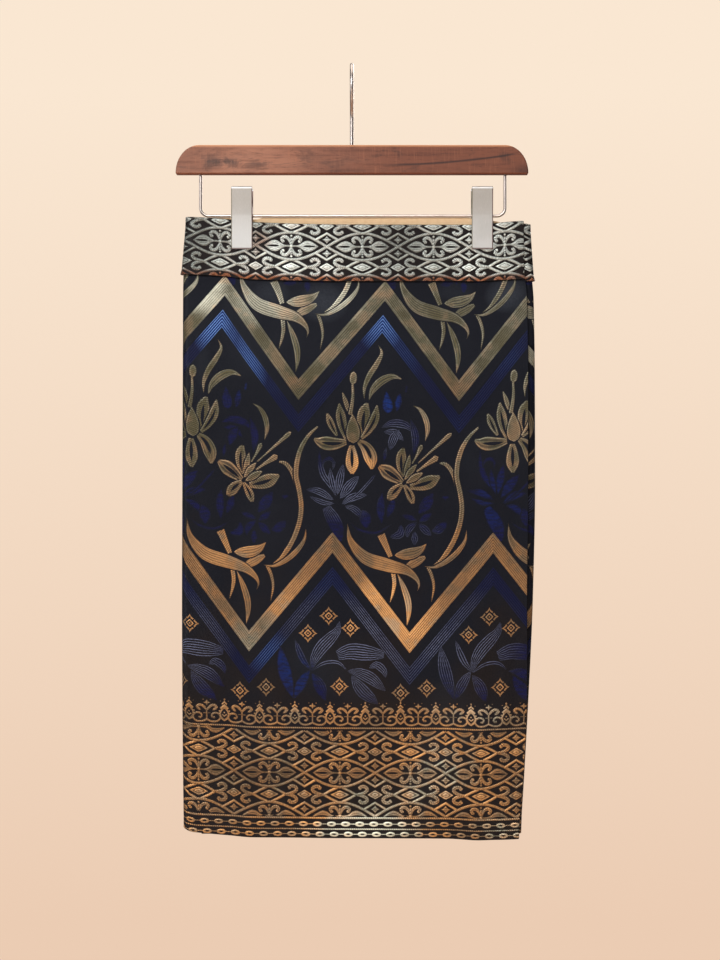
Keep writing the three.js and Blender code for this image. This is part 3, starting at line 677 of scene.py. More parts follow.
def wrapFigures(fromX, toX):
    # beyond the left fold the field is packed a little closer
    plan = Cartoon()
    plan.within = aboveBorder
    lay, packed, packedFrom = fieldLay, fieldLay["packed"], fieldLay["packedFrom"]
    reachX = packedFrom + (fromX - packedFrom) * packed
    for layFigures in (quietFigures, flowerFigures):
        for row in (0, 1):
            v = lay["firstV"] + row * lay["nextV"]
            for x in repeats(lay["firstX"] + row * lay["nextX"], lay["acrossX"], reachX, toX):
                plan.at = (x, v)
                layFigures(plan, lay["fine"] if x > lay["hiddenFrom"] else lay["hiddenFine"], row == 0)
    for figure in plan.figures:
        for key in ("ring", "line"):
            figure[key] = np.array(figure[key], float)
            figure[key][:, 0] -= np.minimum(figure[key][:, 0] - packedFrom, 0) * (1 - 1 / packed)
    borderFigures(plan, fromX, toX)
    for figure in plan.figures:
        figure["ring"] = [tuple(spot) for spot in settled(figure["ring"])]
        figure["line"] = settled(figure["line"])
    return plan.figures


def bandFigures(fromX, toX):
    plan = Cartoon()
    for x in repeats(bandLay["ovalX"], bandLay["ovalWide"], fromX, toX):
        for row in (-1, 0, 1):
            ovalCell(plan, x, bandLay["ovalV"] + row * bandLay["ovalHigh"], bandLay)
    return plan.figures


def sideAt(side, z):
    # how far along the cloth a stretch's side lies: the flap's free edge, the middle of a fold, the inner
    # end, or an end of the facing that shows
    left, right, first, second, third, last = foldPlaces(z)
    run = {"flap": -flapEdge(z), "leftFold": (first + second) / 2, "rightFold": (third + last) / 2,
           "inner": last + right - cloth["underEnd"], "facingStart": second + facingCloth["pastLeft"],
           "facingEnd": third - facingCloth["pastRight"]}[side]
    return -float(run)


def cut(ring, inside, figures):
    # triangles of the flat sheet, and the figure that shows on each
    rings = [ring, *(figure["ring"] for figure in figures)]
    points, faces = [], []
    for corners in rings:
        faces.append(list(range(len(points), len(points) + len(corners))))
        points += map(Vector, corners)
    points += map(Vector, inside)
    verts, _, tris, _, _, owners = geometry.delaunay_2d_cdt(points, [], faces, 0, 1e-3, True)
    flat = np.array([(p.x, p.y) for p in verts])
    kept, shown = [], []
    for tri, mine in zip(tris, owners):
        if 0 not in mine:
            continue
        height = (flat[tri[0], 1] + flat[tri[1], 1] + flat[tri[2], 1]) / 3
        over = [owner for owner in mine
                if owner and figures[owner - 1]["within"][0] < height < figures[owner - 1]["within"][1]]
        kept.append(tri)
        shown.append(max(over, default=0))
    used, kept = np.unique(kept, return_inverse=True)
    return flat[used], kept.reshape(-1, 3), np.array(shown)


def rimOf(tris):
    # the outline's points in order, counter-clockwise
    edges = {(t[i], t[(i + 1) % 3]) for t in tris.tolist() for i in range(3)}
    onward = {a: b for a, b in edges if (b, a) not in edges}
    loop = [next(iter(onward))]
    while onward[loop[-1]] != loop[0]:
        loop.append(onward[loop[-1]])
    return loop


def figureMap(flat, tris, shown, figures):
    # for each corner: how far across its figure it lies, where on the figure's fine lines, and half the
    # figure's width there
    spots = np.zeros((len(tris), 3, 3))
    order = np.argsort(shown, kind="stable")
    starts = np.searchsorted(shown[order], np.arange(1, len(figures) + 2))
    for figure, start, end in zip(figures, starts, starts[1:]):
        mine = order[start:end]
        if not len(mine):
            continue
        q = flat[tris[mine]].reshape(-1, 2)
        line, halves = figure["line"], figure["halves"]
        a, span = line[:-1], np.diff(line, axis=0)
        long = np.linalg.norm(span, axis=1)
        t = np.einsum("ijk,jk->ij", q[:, None] - a[None], span) / np.maximum((span ** 2).sum(1), 1e-9)
        t = np.clip(t, 0, 1)
        off = q[:, None] - (a[None] + t[..., None] * span[None])
        best = (off ** 2).sum(2).argmin(1)
        pick = np.arange(len(q))
        t, off, way = t[pick, best], off[pick, best], span[best]
        side = (way[:, 0] * off[:, 1] - way[:, 1] * off[:, 0]) / long[best]
        halfWide = halves[best] * (1 - t) + halves[best + 1] * t
        across = side / halfWide
        if figure["upright"]:
            across = (q[:, 1] - np.interp(q[:, 0], line[:, 0], line[:, 1])) / figure["upright"]
        across = np.clip(across, -1, 1)
        ribs, rungs = figure["lines"]
        fine = np.zeros(len(q))
        if rungs:
            gone = np.concatenate([[0], np.cumsum(long)])
            fine = 1 + (gone[best] + t * (gone[best + 1] - gone[best]) + side * 0.5) / rungs
        elif ribs:
            fine = 1 + (across + 1) * ribs / 2
        spots[mine] = np.stack([across, fine, halfWide], 1).reshape(-1, 3, 3)
    return spots


def sheetMesh(name, high, sides, lines, figures, offsets, steps, edge):
    # a thin closed shell: a figured outer side, a plain inner side, and an edge rounded where it is free
    bottom, top = lines
    upright = np.linspace(0, high, max(2, int(high / steps[2]) + 1))
    rightAt, leftAt = ends = [np.array([sideAt(side, bottom + (top - bottom) * v / high) for v in upright])
                              for side in sides]

    def crossing(start, end, v):
        return [(p, v) for p in np.linspace(start, end, int(abs(end - start) / grid["rimStep"]))[1:-1]]
    ring = [*zip(rightAt, upright), *crossing(rightAt[-1], leftAt[-1], high),
            *zip(leftAt[::-1], upright[::-1]), *crossing(leftAt[0], rightAt[0], 0.0)]

    def gridOf(wide, tall):
        # points inside the outline, close together round the folds
        folds = [sideAt(side, midZ) for side in ("leftFold", "rightFold")]
        columns = [leftAt.min() + 2]
        while columns[-1] < rightAt.max():
            folded = min(abs(columns[-1] - fold) for fold in folds) < grid["foldReach"]
            columns.append(columns[-1] + (grid["foldStep"] if folded else wide))
        rows = np.linspace(0, high, int(high / tall) + 1)[1:-1]
        return [(p, v) for v in rows for p in columns
                if np.interp(v, upright, leftAt) + 1 < p < np.interp(v, upright, rightAt) - 1]

    flat, tris, shown = cut(ring, gridOf(steps[0], steps[1]), figures)
    loop = rimOf(tris)
    rim = flat[loop]
    backGrid = gridOf(steps[0] * grid["backWide"], steps[1] * grid["backTall"])
    backFlat, backTris, _ = cut(rim.tolist(), backGrid, [])
    backLoop = rimOf(backTris)
    first = int(((backFlat[backLoop] - rim[0]) ** 2).sum(1).argmin())
    backLoop = backLoop[first:] + backLoop[:first]

    def hang(spots, offset):
        low, upper = lineFor(name, -spots[:, 0])
        points, normals = lieAt(-spots[:, 0], low + (upper - low) * spots[:, 1] / high, offset)
        if name.startswith("band"):
            # the band's lower edge stands off the cloth below it
            points += normals * bandCloth["flare"] * np.exp(-(spots[:, 1:] / bandCloth["flareHigh"]) ** 2)
        return points, normals
    (outPoints, outNormals), (inPoints, inNormals) = hang(flat, offsets[0]), hang(backFlat, offsets[1])
    midPoints = (outPoints[loop] + inPoints[backLoop]) / 2
    along = np.roll(midPoints, -1, 0) - np.roll(midPoints, 1, 0)
    edgeWay = np.cross(along, outNormals[loop])
    edgeWay /= np.maximum(np.linalg.norm(edgeWay, axis=1, keepdims=True), 1e-9)
    joined = np.zeros(len(rim), bool)
    for side, at in zip(sides, ends):
        if side.endswith("Fold"):
            joined |= abs(rim[:, 0] - np.interp(rim[:, 1], upright, at)) < 0.01
    midPoints += edgeWay * np.where(joined, 0, edge)[:, None]

    count, mids = len(flat), len(flat) + len(backFlat)
    faces = tris.tolist() + (backTris[:, ::-1] + count).tolist()
    cornerFlat = [flat[tris].reshape(-1, 2), backFlat[backTris[:, ::-1]].reshape(-1, 2)]
    for i in range(len(loop)):
        j = (i + 1) % len(loop)
        faces.append((loop[j], loop[i], mids + i, mids + j))
        faces.append((mids + j, mids + i, backLoop[i] + count, backLoop[j] + count))
        cornerFlat.append(rim[[j, i, i, j, j, i, i, j]])

    mesh = bpy.data.meshes.new(name)
    mesh.from_pydata((np.concatenate([outPoints, inPoints, midPoints]) * mm).tolist(), [], faces)
    threads = np.zeros(len(faces), np.float32)
    threads[:len(tris)] = np.array([0] + [figure["thread"] for figure in figures])[shown]
    threads[len(tris):len(tris) + len(backTris)] = reverse
    spread = np.concatenate(cornerFlat).astype(np.float32) * mm
    fine = np.zeros((len(spread), 3), np.float32)
    fine[:len(tris) * 3] = figureMap(flat, tris, shown, figures).reshape(-1, 3)
    thread = mesh.attributes.new("thread", "FLOAT", "FACE")
    thread.data.foreach_set("value", threads)
    for mapName, values in (("cloth", spread), ("figure", fine[:, :2])):
        mesh.uv_layers.new(name=mapName).data.foreach_set("uv", values.ravel())
    halfWide = mesh.attributes.new("halfWide", "FLOAT", "CORNER")
    halfWide.data.foreach_set("value", fine[:, 2].copy())
    mesh.polygons.foreach_set("use_smooth", np.ones(len(faces), bool))
    mesh.update()
    mesh.normals_split_custom_set_from_vertices(np.concatenate([outNormals, -inNormals, edgeWay]).tolist())
    piece = bpy.data.objects.new(name, mesh)
    scene.collection.objects.link(piece)
    print(f"{name}: {len(tris) + len(backTris) + 4 * len(loop)} triangles, {len(figures)} figures")
    return piece


def lineFor(name, run):
    # a piece's lower and upper line at each run
    waist = waistLine(run)
    if name.startswith("wrap"):
        return hemLine(run), waist
    if name == "bandFacing":
        return waist - facingCloth["high"], waist
    x = middle(run, np.full(len(run), waistZ))[:, 0]
    return waistLine(run, 0.0) - bandDrop(x), waist


# The studio: a plain pale room, a high soft light in front, and a warm one low down
studio = {"camera": (0.0082, -2.4, -0.413), "lens": 90.0, "floorZ": -1.3, "floorReach": 1.9, "room": 0.22}
lamps = {  # place, target, size, power, colour
    "highSoftbox": ((-0.7, -2.4, 0.95), (0, 0, -0.35), (1.5, 0.9), 66, (250, 251, 255)),
    "lowWarmBox": ((0.3, -2.3, -1.15), (0, 0, -0.6), (1.8, 0.5), 8, (255, 224, 200)),
    "sideBox": ((-2.4, -0.8, 0.1), (0, 0, -0.4), (0.9, 1.6), 14, (250, 250, 255)),
    "backBox": ((0.9, 2.6, 0.6), (0, 0, -0.4), (1.6, 1.2), 40, (255, 246, 238)),
    "topBox": ((0, 0.2, 1.6), (0, 0, -0.4), (2.2, 2.2), 30, (255, 246, 238))}


def lamp(name, place, target, size, power, colour):
    bpy.ops.object.light_add(type="AREA", location=place)
    made = bpy.context.object
    made.name = name
    made.rotation_euler = (Vector(target) - Vector(place)).to_track_quat("-Z", "Y").to_euler()
    made.data.shape = "RECTANGLE"
    made.data.size, made.data.size_y = size
    made.data.energy = power
    made.data.color = rgb(*colour)[:3]


def makeStudio():
    camera = bpy.data.objects.new("camera", bpy.data.cameras.new("camera"))
    camera.data.lens = studio["lens"]
    camera.data.sensor_width = 36
    camera.location = studio["camera"]
    camera.rotation_euler = (math.pi / 2, 0, 0)
    scene.collection.objects.link(camera)
    scene.camera = camera
    for name, settings in lamps.items():
        lamp(name, *settings)
    # a wall that pales upwards where it is seen, its darker lower part painted shade, and an even pale light
    # from all round
    room = Finish("paleRoom", "worlds")
    up = room.parts(room.node("TexCoord"))[2]
    fall = room.node("MapRange", None, {"Value": up, "From Min": -0.18, "From Max": 0.16})
    wall = room.blend(fall, rgb(235, 204, 179), rgb(250, 231, 210))
    seen = room.node("Background", None, {"Color": wall})
    light = room.node("Background", None, {"Color": rgb(222, 222, 228), "Strength": studio["room"]})
    mixed = room.node("MixShader", None, {0: room.node("LightPath"), 1: light, 2: seen})
    room.node("OutputWorld", None, {"Surface": mixed})
    scene.world = room.holder
    clear()
    bpy.ops.mesh.primitive_circle_add(vertices=96, radius=studio["floorReach"], fill_type="NGON",
                                      location=(0, 0, studio["floorZ"]))
    floor = settle("floor")
    finish = Finish("paleFloor")
    shade = finish.blend(finish.noise(finish.place(), 3.0), rgb(228, 204, 184), rgb(234, 211, 192))
    floor.data.materials.append(finish.surface(Base_Color=shade, Roughness=0.8))


# The brocade: thread colours, lit and unlit tones among them, a painted shadow under the band, and the
# places where painted highlights, painted warm reflections, painted lit blue, slate sheen and ground sheen
# turn its lustre. A place is given by p along and v up, its half width and half height in millimetres, and
# how far it turns.
brocadeLook = {
    "ground": rgb(13, 16, 25), "groundLow": rgb(25, 19, 18), "sheen": rgb(70, 76, 84),
    "olive": rgb(76, 70, 48), "silver": rgb(234, 232, 208), "umber": rgb(112, 84, 58),
    "copper": rgb(240, 178, 112), "navyDark": rgb(9, 13, 38), "navyLine": rgb(20, 30, 84),
    "litDark": rgb(8, 34, 92), "litLine": rgb(122, 164, 226), "quietNavy": rgb(14, 17, 66),
    "quietLit": rgb(18, 62, 140), "slate": rgb(108, 114, 142), "reverse": rgb(50, 44, 40),
    "shade": rgb(7, 8, 11), "shadow": 0.75, "shadowFrom": 554.5, "shadowTo": 560.0,
    "metal": 0.5, "relief": 0.45, "rim": 0.85, "edge": 0.22, "twill": 0.55, "bead": 0.62, "bright": 0.37,
    "clouds": 0.55, "grain": 0.34, "petal": 0.7, "warmLow": 460.0, "warmHigh": 240.0,
    "groundTurn": 80.0, "groundTurnHigh": 160.0, "latticeBelow": 108.0,
    "highlight places": [
        (-200, 440, 600, 200, -0.2), (-200, 66, 700, 62, -0.08), (-145, 535, 24, 24, 0.6),
        (-133, 553, 16, 12, 0.3), (-86, 534, 44, 28, 0.34), (-12, 539, 28, 26, 0.4), (8, 376, 20, 20, 0.6),
        (73, 419, 12, 24, 0.3),
        (44, 212, 52, 60, 0.5), (34, 262, 16, 30, 0.16), (17, 246, 17, 20, 0.22), (-60, 250, 20, 26, 0.12),
        (6, 12, 72, 15, 0.5), (-72, 225, 22, 26, 0.3), (150, 10, 30, 14, 0.12), (-126, 282, 40, 30, 0.2),
        (26, 550, 22, 16, 0.1), (-95, 66, 40, 44, -0.2), (-120, 30, 50, 30, -0.1), (-103, 196, 30, 26, 0.12),
        (-540, 480, 60, 60, 0.4), (-380, 210, 70, 60, 0.4), (-300, 380, 50, 50, 0.3),
        (-440, 40, 90, 40, 0.4)],
    "warm places": [
        (23, 32, 56, 34, -1.0), (10, 6, 78, 18, -1.3), (88, 62, 44, 36, -0.9), (118, 128, 40, 22, -0.5),
        (-95, 66, 44, 50, -0.4), (-103, 196, 34, 30, -0.75), (8, 376, 26, 26, 0.9), (73, 419, 20, 30, 0.5),
        (150, 10, 34, 18, -0.8), (136, 126, 34, 18, -0.5), (-55, 449, 26, 26, 0.4), (106, 449, 30, 26, 0.3),
        (30, 545, 20, 16, 0.3), (-60, 126, 20, 16, -0.3), (-440, 60, 100, 60, -0.8),
        (-560, 250, 60, 60, -0.6)],
    "blue places": [
        (-138, 512, 26, 40, 1.1), (-104, 474, 22, 44, 0.7), (28, 520, 26, 36, 0.85), (52, 490, 24, 40, 0.15),
        (-85, 186, 24, 26, 0.36), (-58, 160, 24, 44, 0.5), (152, 494, 26, 40, 0.15), (145, 338, 30, 34, 0.3),
        (34, 436, 20, 18, 0.9), (-300, 500, 60, 60, 0.7), (-470, 480, 60, 60, 0.7), (-250, 150, 60, 50, 0.5)],
    "slate places": [
        (-10, 348, 44, 36, 1.1), (44, 402, 28, 26, 0.9), (62, 300, 40, 24, 0.6), (-30, 210, 60, 46, 0.8),
        (26, 190, 74, 70, 1.0), (120, 196, 60, 60, 0.9), (-160, 190, 50, 60, 1.0), (-80, 120, 90, 30, 0.3),
        (-400, 180, 80, 60, 0.9), (-560, 340, 50, 40, 0.8)],
    "sheen places": [
        (155, 543, 24, 20, 0.5), (-28, 536, 26, 22, 0.4), (-80, 545, 20, 14, 0.25), (100, 548, 24, 14, 0.2),
        (-150, 465, 14, 30, 0.1), (-420, 500, 60, 50, 0.3)],
}
bandLook = {
    **brocadeLook, "olive": rgb(100, 102, 94), "silver": rgb(234, 240, 230), "umber": rgb(84, 54, 40),
    "copper": rgb(176, 112, 76), "shadow": 0.0, "relief": 0.9, "edge": 0.14, "bright": 0.57, "clouds": 0.5,
    "petal": 0.25, "warmLow": 8.0, "warmHigh": 2.0, "latticeBelow": 1000.0,
    "highlight places": [
        (-35, 30, 60, 40, 0.2), (130, 30, 44, 44, 0.25), (50, 40, 26, 40, -0.2), (-158, 30, 26, 44, -0.25),
        (-76, 24, 20, 24, 0.2), (-90, 50, 16, 12, -0.2), (-400, 30, 90, 40, 0.3), (-560, 30, 70, 40, 0.3)],
    "warm places": [(-92, 38, 12, 14, 0.5)], "blue places": [], "slate places": [], "sheen places": [],
}


def brocade(name, look):
    finish = Finish(name)
    blend = finish.blend
    p, v = finish.spread("cloth")
    across, fine = finish.spread("figure")
    where, thread, half = finish.place(), finish.value("thread"), finish.value("halfWide")
    metal, isBlue, isQuiet, isBack = (thread.near(kind) for kind in (gold, blue, quiet, reverse))
    cloud = finish.noise(where, 7.0, 3.0, 0.55)
    drift = finish.noise(where, 16.0, 2.0, 0.5, 0.4)
    grain = finish.noise(where, 620.0, 2.0, 0.7) - 0.5
    petal = (finish.noise(where, 52.0, 2.0, 0.6).step(0.34, 0.66) - 0.5) * look["petal"]
    brush = finish.drawn(where, (120, 120, 480)).step(0.34, 0.66)

    def turned(level, places):
        for atP, atV, wide, high, turn in places:
            a, b = (p - atP * mm) * (1 / (wide * mm)), (v - atV * mm) * (1 / (high * mm))
            level += (1 - a * a - b * b).held() * turn
        return level.held()

    # fine lines within a figure, dark between, here and there lost in the weave
    ribbed = fine.maths("GREATER_THAN", 0.5)
    lattice = v.maths("LESS_THAN", look["latticeBelow"] * mm)
    gap = (fine.maths("FRACT") - 0.5).size().step(0.07, 0.24)
    thin = 1 - gap
    line = 1 - ribbed * thin * (0.64 + 0.3 * drift.step(0.40, 0.56))
    # inwards from a figure's outline, in millimetres
    inward = (1 - across.size()) * half
    # painted shade along each metal figure's outline (rim), and a painted highlight just inside it (edge)
    rim = (1 - (inward + 0.2 * lattice).step(0.0, 0.45)) * look["rim"]
    edge = inward.step(0.3, 0.7) * (1 - inward.step(1.0, 1.8)) * look["edge"] * (1 + 0.5 * lattice)
    # the weave: a slanting twill in the ground, short floats across the metal threads
    slant = (p + v).wave(look["twill"])
    floats = v.wave(look["bead"]) * 0.6 + p.wave(2 * look["bead"]) * 0.4
    crown = look["relief"] * (1 + 0.8 * lattice) * inward.step(0.0, 1.2)
    height = metal * (0.5 + crown + 0.3 * line + 0.06 * floats) + (1 - metal) * 0.06 * slant
    height += (isBlue + isQuiet) * line * 0.25
    # painted light on the metal: copper low down as a painted warm reflection, olive and painted silver
    # highlights above, cloudy, with its own places
    level = (cloud - 0.5) * look["clouds"] + (drift - 0.5) * 0.3 + edge + petal * 0.25
    level += grain * (look["grain"] * (1 + lattice))
    bright = turned(level + look["bright"], look["highlight places"])
    bright *= bright
    warm = v.step(look["warmLow"] * mm, look["warmHigh"] * mm) + (cloud - 0.5) * 0.5 + petal
    warm = turned(warm, look["warm places"])
    blueLevel = turned((drift - 0.5) * 0.3, look["blue places"])
    slateLevel = turned((cloud - 0.6) * 0.8, look["slate places"])
    sheen = turned((cloud - 0.52) * 0.5, look["sheen places"])
    cool = blend(bright, look["olive"], look["silver"])
    hot = blend(bright, look["umber"], look["copper"])
    lit = blend(warm, cool, hot)
    metalColour = blend(line * (1 - rim), blend(0.86, lit, look["ground"]), lit)
    low = ((v - look["groundTurn"] * mm) * (1 / (look["groundTurnHigh"] * mm)) + (drift - 0.5) * 2.4).held()
    base = blend(low, look["groundLow"], look["ground"])
    base = blend(sheen * (0.7 + grain), base, look["sheen"])
    slateShare = thin * (0.28 + 0.5 * slateLevel + grain * 0.8) * (0.65 + 0.5 * brush)
    slateColour = blend(slateShare.held(), base, look["slate"])
    # the navy threads, blue where they are lit and slate where they shine
    navy = blend(blueLevel, look["navyDark"], look["litDark"])
    navyLine = blend(blueLevel * (0.9 + grain), look["navyLine"], look["litLine"])
    navy = blend(thin * (0.4 + 0.5 * blueLevel), navy, navyLine)
    navy = blend(slateLevel * (1 - blueLevel), navy, slateColour)
    faded = inward.step(0.0, 2.2)
    leaf = blend(faded * (0.3 + 0.5 * brush), base, look["quietNavy"])
    leaf = blend(blueLevel * faded * (0.1 + 0.4 * brush), leaf, look["quietLit"])
    leaf = blend((slateLevel * 1.4).held() * (1 - blueLevel), leaf, slateColour)
    colour = base
    shadow = v.step(look["shadowFrom"] * mm, look["shadowTo"] * mm) * look["shadow"]
    for share, over in ((isQuiet, leaf), (isBlue * inward.step(0.0, 1.4), navy), (metal, metalColour),
                        (shadow, look["shade"]), (isBack, look["reverse"])):
        colour = blend(share, colour, over)
    rough = 0.5 - 0.06 * metal + 0.16 * isBack - 0.06 * isBlue + (cloud - 0.5) * 0.1
    shine = metal * line * look["metal"]
    return finish.surface(height, 1.0, 0.0005, Base_Color=colour, Roughness=rough, Metallic=shine,
                          Specular_IOR_Level=0.15)


def facingFinish():
    finish = Finish("facingCotton")
    p, v = finish.spread("cloth")
    weave = p.wave(0.5) * v.wave(0.5)
    slub = finish.noise(finish.place(), 260.0, 3.0)
    shade = finish.blend((slub + 0.1 * weave).held(), rgb(230, 188, 140), rgb(250, 216, 170))
    return finish.surface(weave + slub, 0.4, 0.0004, Base_Color=shade, Roughness=0.85)


def claim(piece, material, node):
    # what a piece is made of, and what it stands for
    piece.data.materials.clear()
    piece.data.materials.append(material)
    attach(piece, "root")
    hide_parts(node)


def makeCloth():
    # the main cloth and the band hang in three stretches, each between its two sides
    wrapZ, bandZ = (-772.3, -158.3), (-214.0, -158.0)
    stretches = [("Front", ("flap", "leftFold")), ("Back", ("leftFold", "rightFold")),
                 ("Under", ("rightFold", "inner"))]
    wrapFinish, bandFinish = brocade("brocade", brocadeLook), brocade("borderBrocade", bandLook)
    half = cloth["wall"] / 2
    over = half + bandCloth["gap"]
    inner = -half - facingCloth["gap"]
    ends = (sideAt("inner", midZ) - figureReach["pastInner"], figureReach["right"])
    field, border = wrapFigures(*ends), bandFigures(*ends)
    cuts = []
    for stretch, sides in stretches:
        reach = [sideAt(side, midZ) for side in sides]
        for kind, high, lines, figures, offsets, steps, edge, slot, look in (
                ("wrap", cloth["drop"], wrapZ, field, (half, -half), (8, 8, 8), cloth["edge"], "brocade",
                 wrapFinish),
                ("band", bandCloth["low"], bandZ, border, (over + bandCloth["thick"], over), (6, 6, 4),
                 bandCloth["edge"], "band_brocade", bandFinish)):
            near = [f for f in figures if min(p[0] for p in f["ring"]) < reach[0] + figureReach["over"]
                    and max(p[0] for p in f["ring"]) > reach[1] - figureReach["over"]]
            piece = sheetMesh(kind + stretch, high, sides, lines, near, offsets, steps, edge)
            claim(piece, look, f"{kind}_{stretch.lower()}")
            cuts.append((piece, (abs(reach[0] - reach[1]) * mm, high * mm)))
    sides = ("facingStart", "facingEnd")
    facing = sheetMesh("bandFacing", facingCloth["high"], sides, bandZ, [],
                       (inner, inner - facingCloth["thick"]), (6, 6, 4), facingCloth["edge"])
    claim(facing, facingFinish(), "band_facing")
    wide = sideAt("facingStart", waistZ) - sideAt("facingEnd", waistZ)
    return [*cuts, (facing, (wide * mm, facingCloth["high"] * mm))]


# The hanger, made as by hand. Sizes in millimetres.
barSize = {"left": -175.8, "right": 176.2, "top": -78.7, "bottom": -107.7, "depth": 13.0, "cornerX": 23.4,
           "cornerZ": 27.6, "edge": 1.4}
hookSize = {"wire": 1.85, "bend": 22.0, "neck": 12.0, "socket": 22.0, "endBelow": 25.0}
frameWire = {"wire": 1.5, "left": -151.1, "right": 153.2, "z": -149.0, "corner": 8.0, "socket": 16.0}
clipSize = {"width": 21.2, "top": -120.4, "bottom": -182.6, "sheet": 0.8, "gripDepth": 6.9, "pivotDepth": 8.6,
            "topDepth": 11.5, "rows": (-170, -150.4, -147.4, -140.5, -130, -122), "narrowed": 1.2,
            "turnedIn": 0.2, "soften": 0.18, "earTop": -140.5, "earBottom": -150.4, "earTaper": 0.72,
            "earSteps": (0.3, 6.0, 3.2), "backEarInset": 1.5, "spring": 0.5, "turns": 4.5, "springHalf": 6.0,
            "legBelow": 12.0}
play, wireShort = 0.3, 0.4    # room round a wire, and how far one stays off the end of its hole


def clear():
    bpy.ops.object.select_all(action="DESELECT")


def settle(name):
    # a new primitive's place goes into its mesh
    bpy.ops.object.transform_apply(location=True, rotation=True, scale=True)
    bpy.context.object.name = name
    return bpy.context.object


def mode(name):
    bpy.ops.object.mode_set(mode=name)


def takeAll():
    bpy.ops.mesh.select_all(action="SELECT")


def facesOut():
    takeAll()
    bpy.ops.mesh.normals_make_consistent(inside=False)


def merge():
    takeAll()
    bpy.ops.mesh.remove_doubles(threshold=0.00001)


def pick(kind, test):
    # selects corners, edges or faces by their middle, in millimetres
    bpy.ops.mesh.select_mode(type={"verts": "VERT", "edges": "EDGE"}[kind])
    bpy.ops.mesh.select_all(action="DESELECT")
    mesh = bmesh.from_edit_mesh(bpy.context.object.data)
    for item in getattr(mesh, kind):
        corners = [item] if kind == "verts" else item.verts
        item.select_set(test(item, sum((corner.co for corner in corners), Vector()) / len(corners) / mm))
    if kind == "verts":
        mesh.select_flush(True)
    bmesh.update_edit_mesh(bpy.context.object.data)


def bore(piece, x, fromZ, deep, radius):
    # drills a blind hole with a cylinder
    clear()
    bpy.ops.mesh.primitive_cylinder_add(vertices=28, radius=radius * mm, depth=deep * mm,
                                        location=(x * mm, 0, (fromZ + deep / 2) * mm))
    drill = settle("drill")
    bpy.context.view_layer.objects.active = piece
    cutter = piece.modifiers.new("bore", "BOOLEAN")
    cutter.object = drill
    cutter.operation = "DIFFERENCE"
    cutter.solver = "FAST"
    bpy.ops.object.modifier_apply(modifier=cutter.name)
    bpy.data.objects.remove(drill)


def finishPiece(piece, material, node, angle=35, flatten=False):
    clear()
    piece.select_set(True)
    bpy.context.view_layer.objects.active = piece
    bpy.ops.object.shade_smooth_by_angle(angle=math.radians(angle))
    if flatten:
        # large faces stay flat beside their rounded edges
        piece.modifiers.new("flatFaces", "WEIGHTED_NORMAL").keep_sharp = True
        bpy.ops.object.modifier_apply(modifier="flatFaces")
    claim(piece, material, node)


def makeBar():
    size = barSize
    squeeze = size["cornerZ"] / size["cornerX"]
    high = (size["top"] - size["bottom"]) / squeeze
    deep = size["depth"] / 2
    start = Vector((size["left"], -deep, size["bottom"])) * mm
    end = Vector((size["right"], deep, size["bottom"] + high)) * mm
    clear()
    bpy.ops.mesh.primitive_cube_add(size=1, location=(start + end) / 2, scale=end - start)
    bar = settle("woodBar")
    mode("EDIT")
    # the upper corners are rounded as circles, then stretched to ellipses
    pick("edges", lambda edge, at: at.z > size["bottom"] + high - 0.1 and abs(at.x) > size["right"] - 1)
    bpy.ops.mesh.bevel(offset=size["cornerX"] * mm, segments=18, affect="EDGES")
    takeAll()
    bpy.ops.transform.resize(value=(1, 1, squeeze), center_override=(0, 0, size["bottom"] * mm))
    pick("edges", lambda edge, at: len(edge.link_faces) == 2 and edge.calc_face_angle() > math.radians(40))
    bpy.ops.mesh.bevel(offset=size["edge"] * mm, segments=4, affect="EDGES")
    facesOut()
    mode("OBJECT")
    bore(bar, 0, size["top"] - hookSize["socket"], hookSize["socket"] + 3, hookSize["wire"] + play)
    for x in (frameWire["left"], frameWire["right"]):
        bore(bar, x, size["bottom"] - 3, frameWire["socket"] + 3, frameWire["wire"] + play)
    finishPiece(bar, walnutFinish(), "wood_bar", flatten=True)


def wireStart(name, place, radius):
    # a disc that a wire is drawn from
    clear()
    bpy.ops.mesh.primitive_circle_add(vertices=20, radius=radius * mm, fill_type="NOTHING",
                                      location=Vector(place) * mm)
    settle(name)
    mode("EDIT")
    takeAll()


def draw(x, y, z):
    bpy.ops.mesh.extrude_region_move(TRANSFORM_OT_translate={"value": (x * mm, y * mm, z * mm)})


def turn(angle, centre, axis, steps):
    bpy.ops.mesh.spin(steps=steps, angle=angle, center=Vector(centre) * mm, axis=axis)


def wireEnd(name, material, node):
    # closes both ends and turns the faces outwards
    merge()
    bpy.ops.mesh.fill_holes(sides=0)
    bpy.ops.mesh.normals_make_consistent(inside=False)
    mode("OBJECT")
    finishPiece(bpy.data.objects[name], material, node, 60)


def makeHook():
    size = hookSize
    centreZ = size["wire"] - size["bend"]
    neckZ = centreZ - math.sqrt((size["bend"] + size["neck"]) ** 2 - size["neck"] ** 2)
    meet = math.atan2(centreZ - neckZ, size["neck"])
    foot = barSize["top"] - size["socket"] + wireShort
    wireStart("hookWire", (0, 0, foot), size["wire"])
    draw(0, 0, neckZ - foot)
    turn(meet, (0, -size["neck"], neckZ), (-1, 0, 0), 10)
    turn(math.pi + meet + math.radians(size["endBelow"]), (0, 0, centreZ), (1, 0, 0), 44)
    wireEnd("hookWire", chromeFinish("hookChrome"), "hook")


def makeFrameWire():
    size = frameWire
    topZ = barSize["bottom"] + size["socket"] - wireShort
    bendZ = size["z"] + size["corner"]
    wireStart("clipWire", (size["left"], 0, topZ), size["wire"])
    draw(0, 0, bendZ - topZ)
    turn(math.pi / 2, (size["left"] + size["corner"], 0, bendZ), (0, 1, 0), 9)
    draw(size["right"] - size["left"] - 2 * size["corner"], 0, 0)
    turn(math.pi / 2, (size["right"] - size["corner"], 0, bendZ), (0, 1, 0), 9)
    draw(0, 0, topZ - bendZ)
    wireEnd("clipWire", chromeFinish("wireChrome"), "clip_wire")


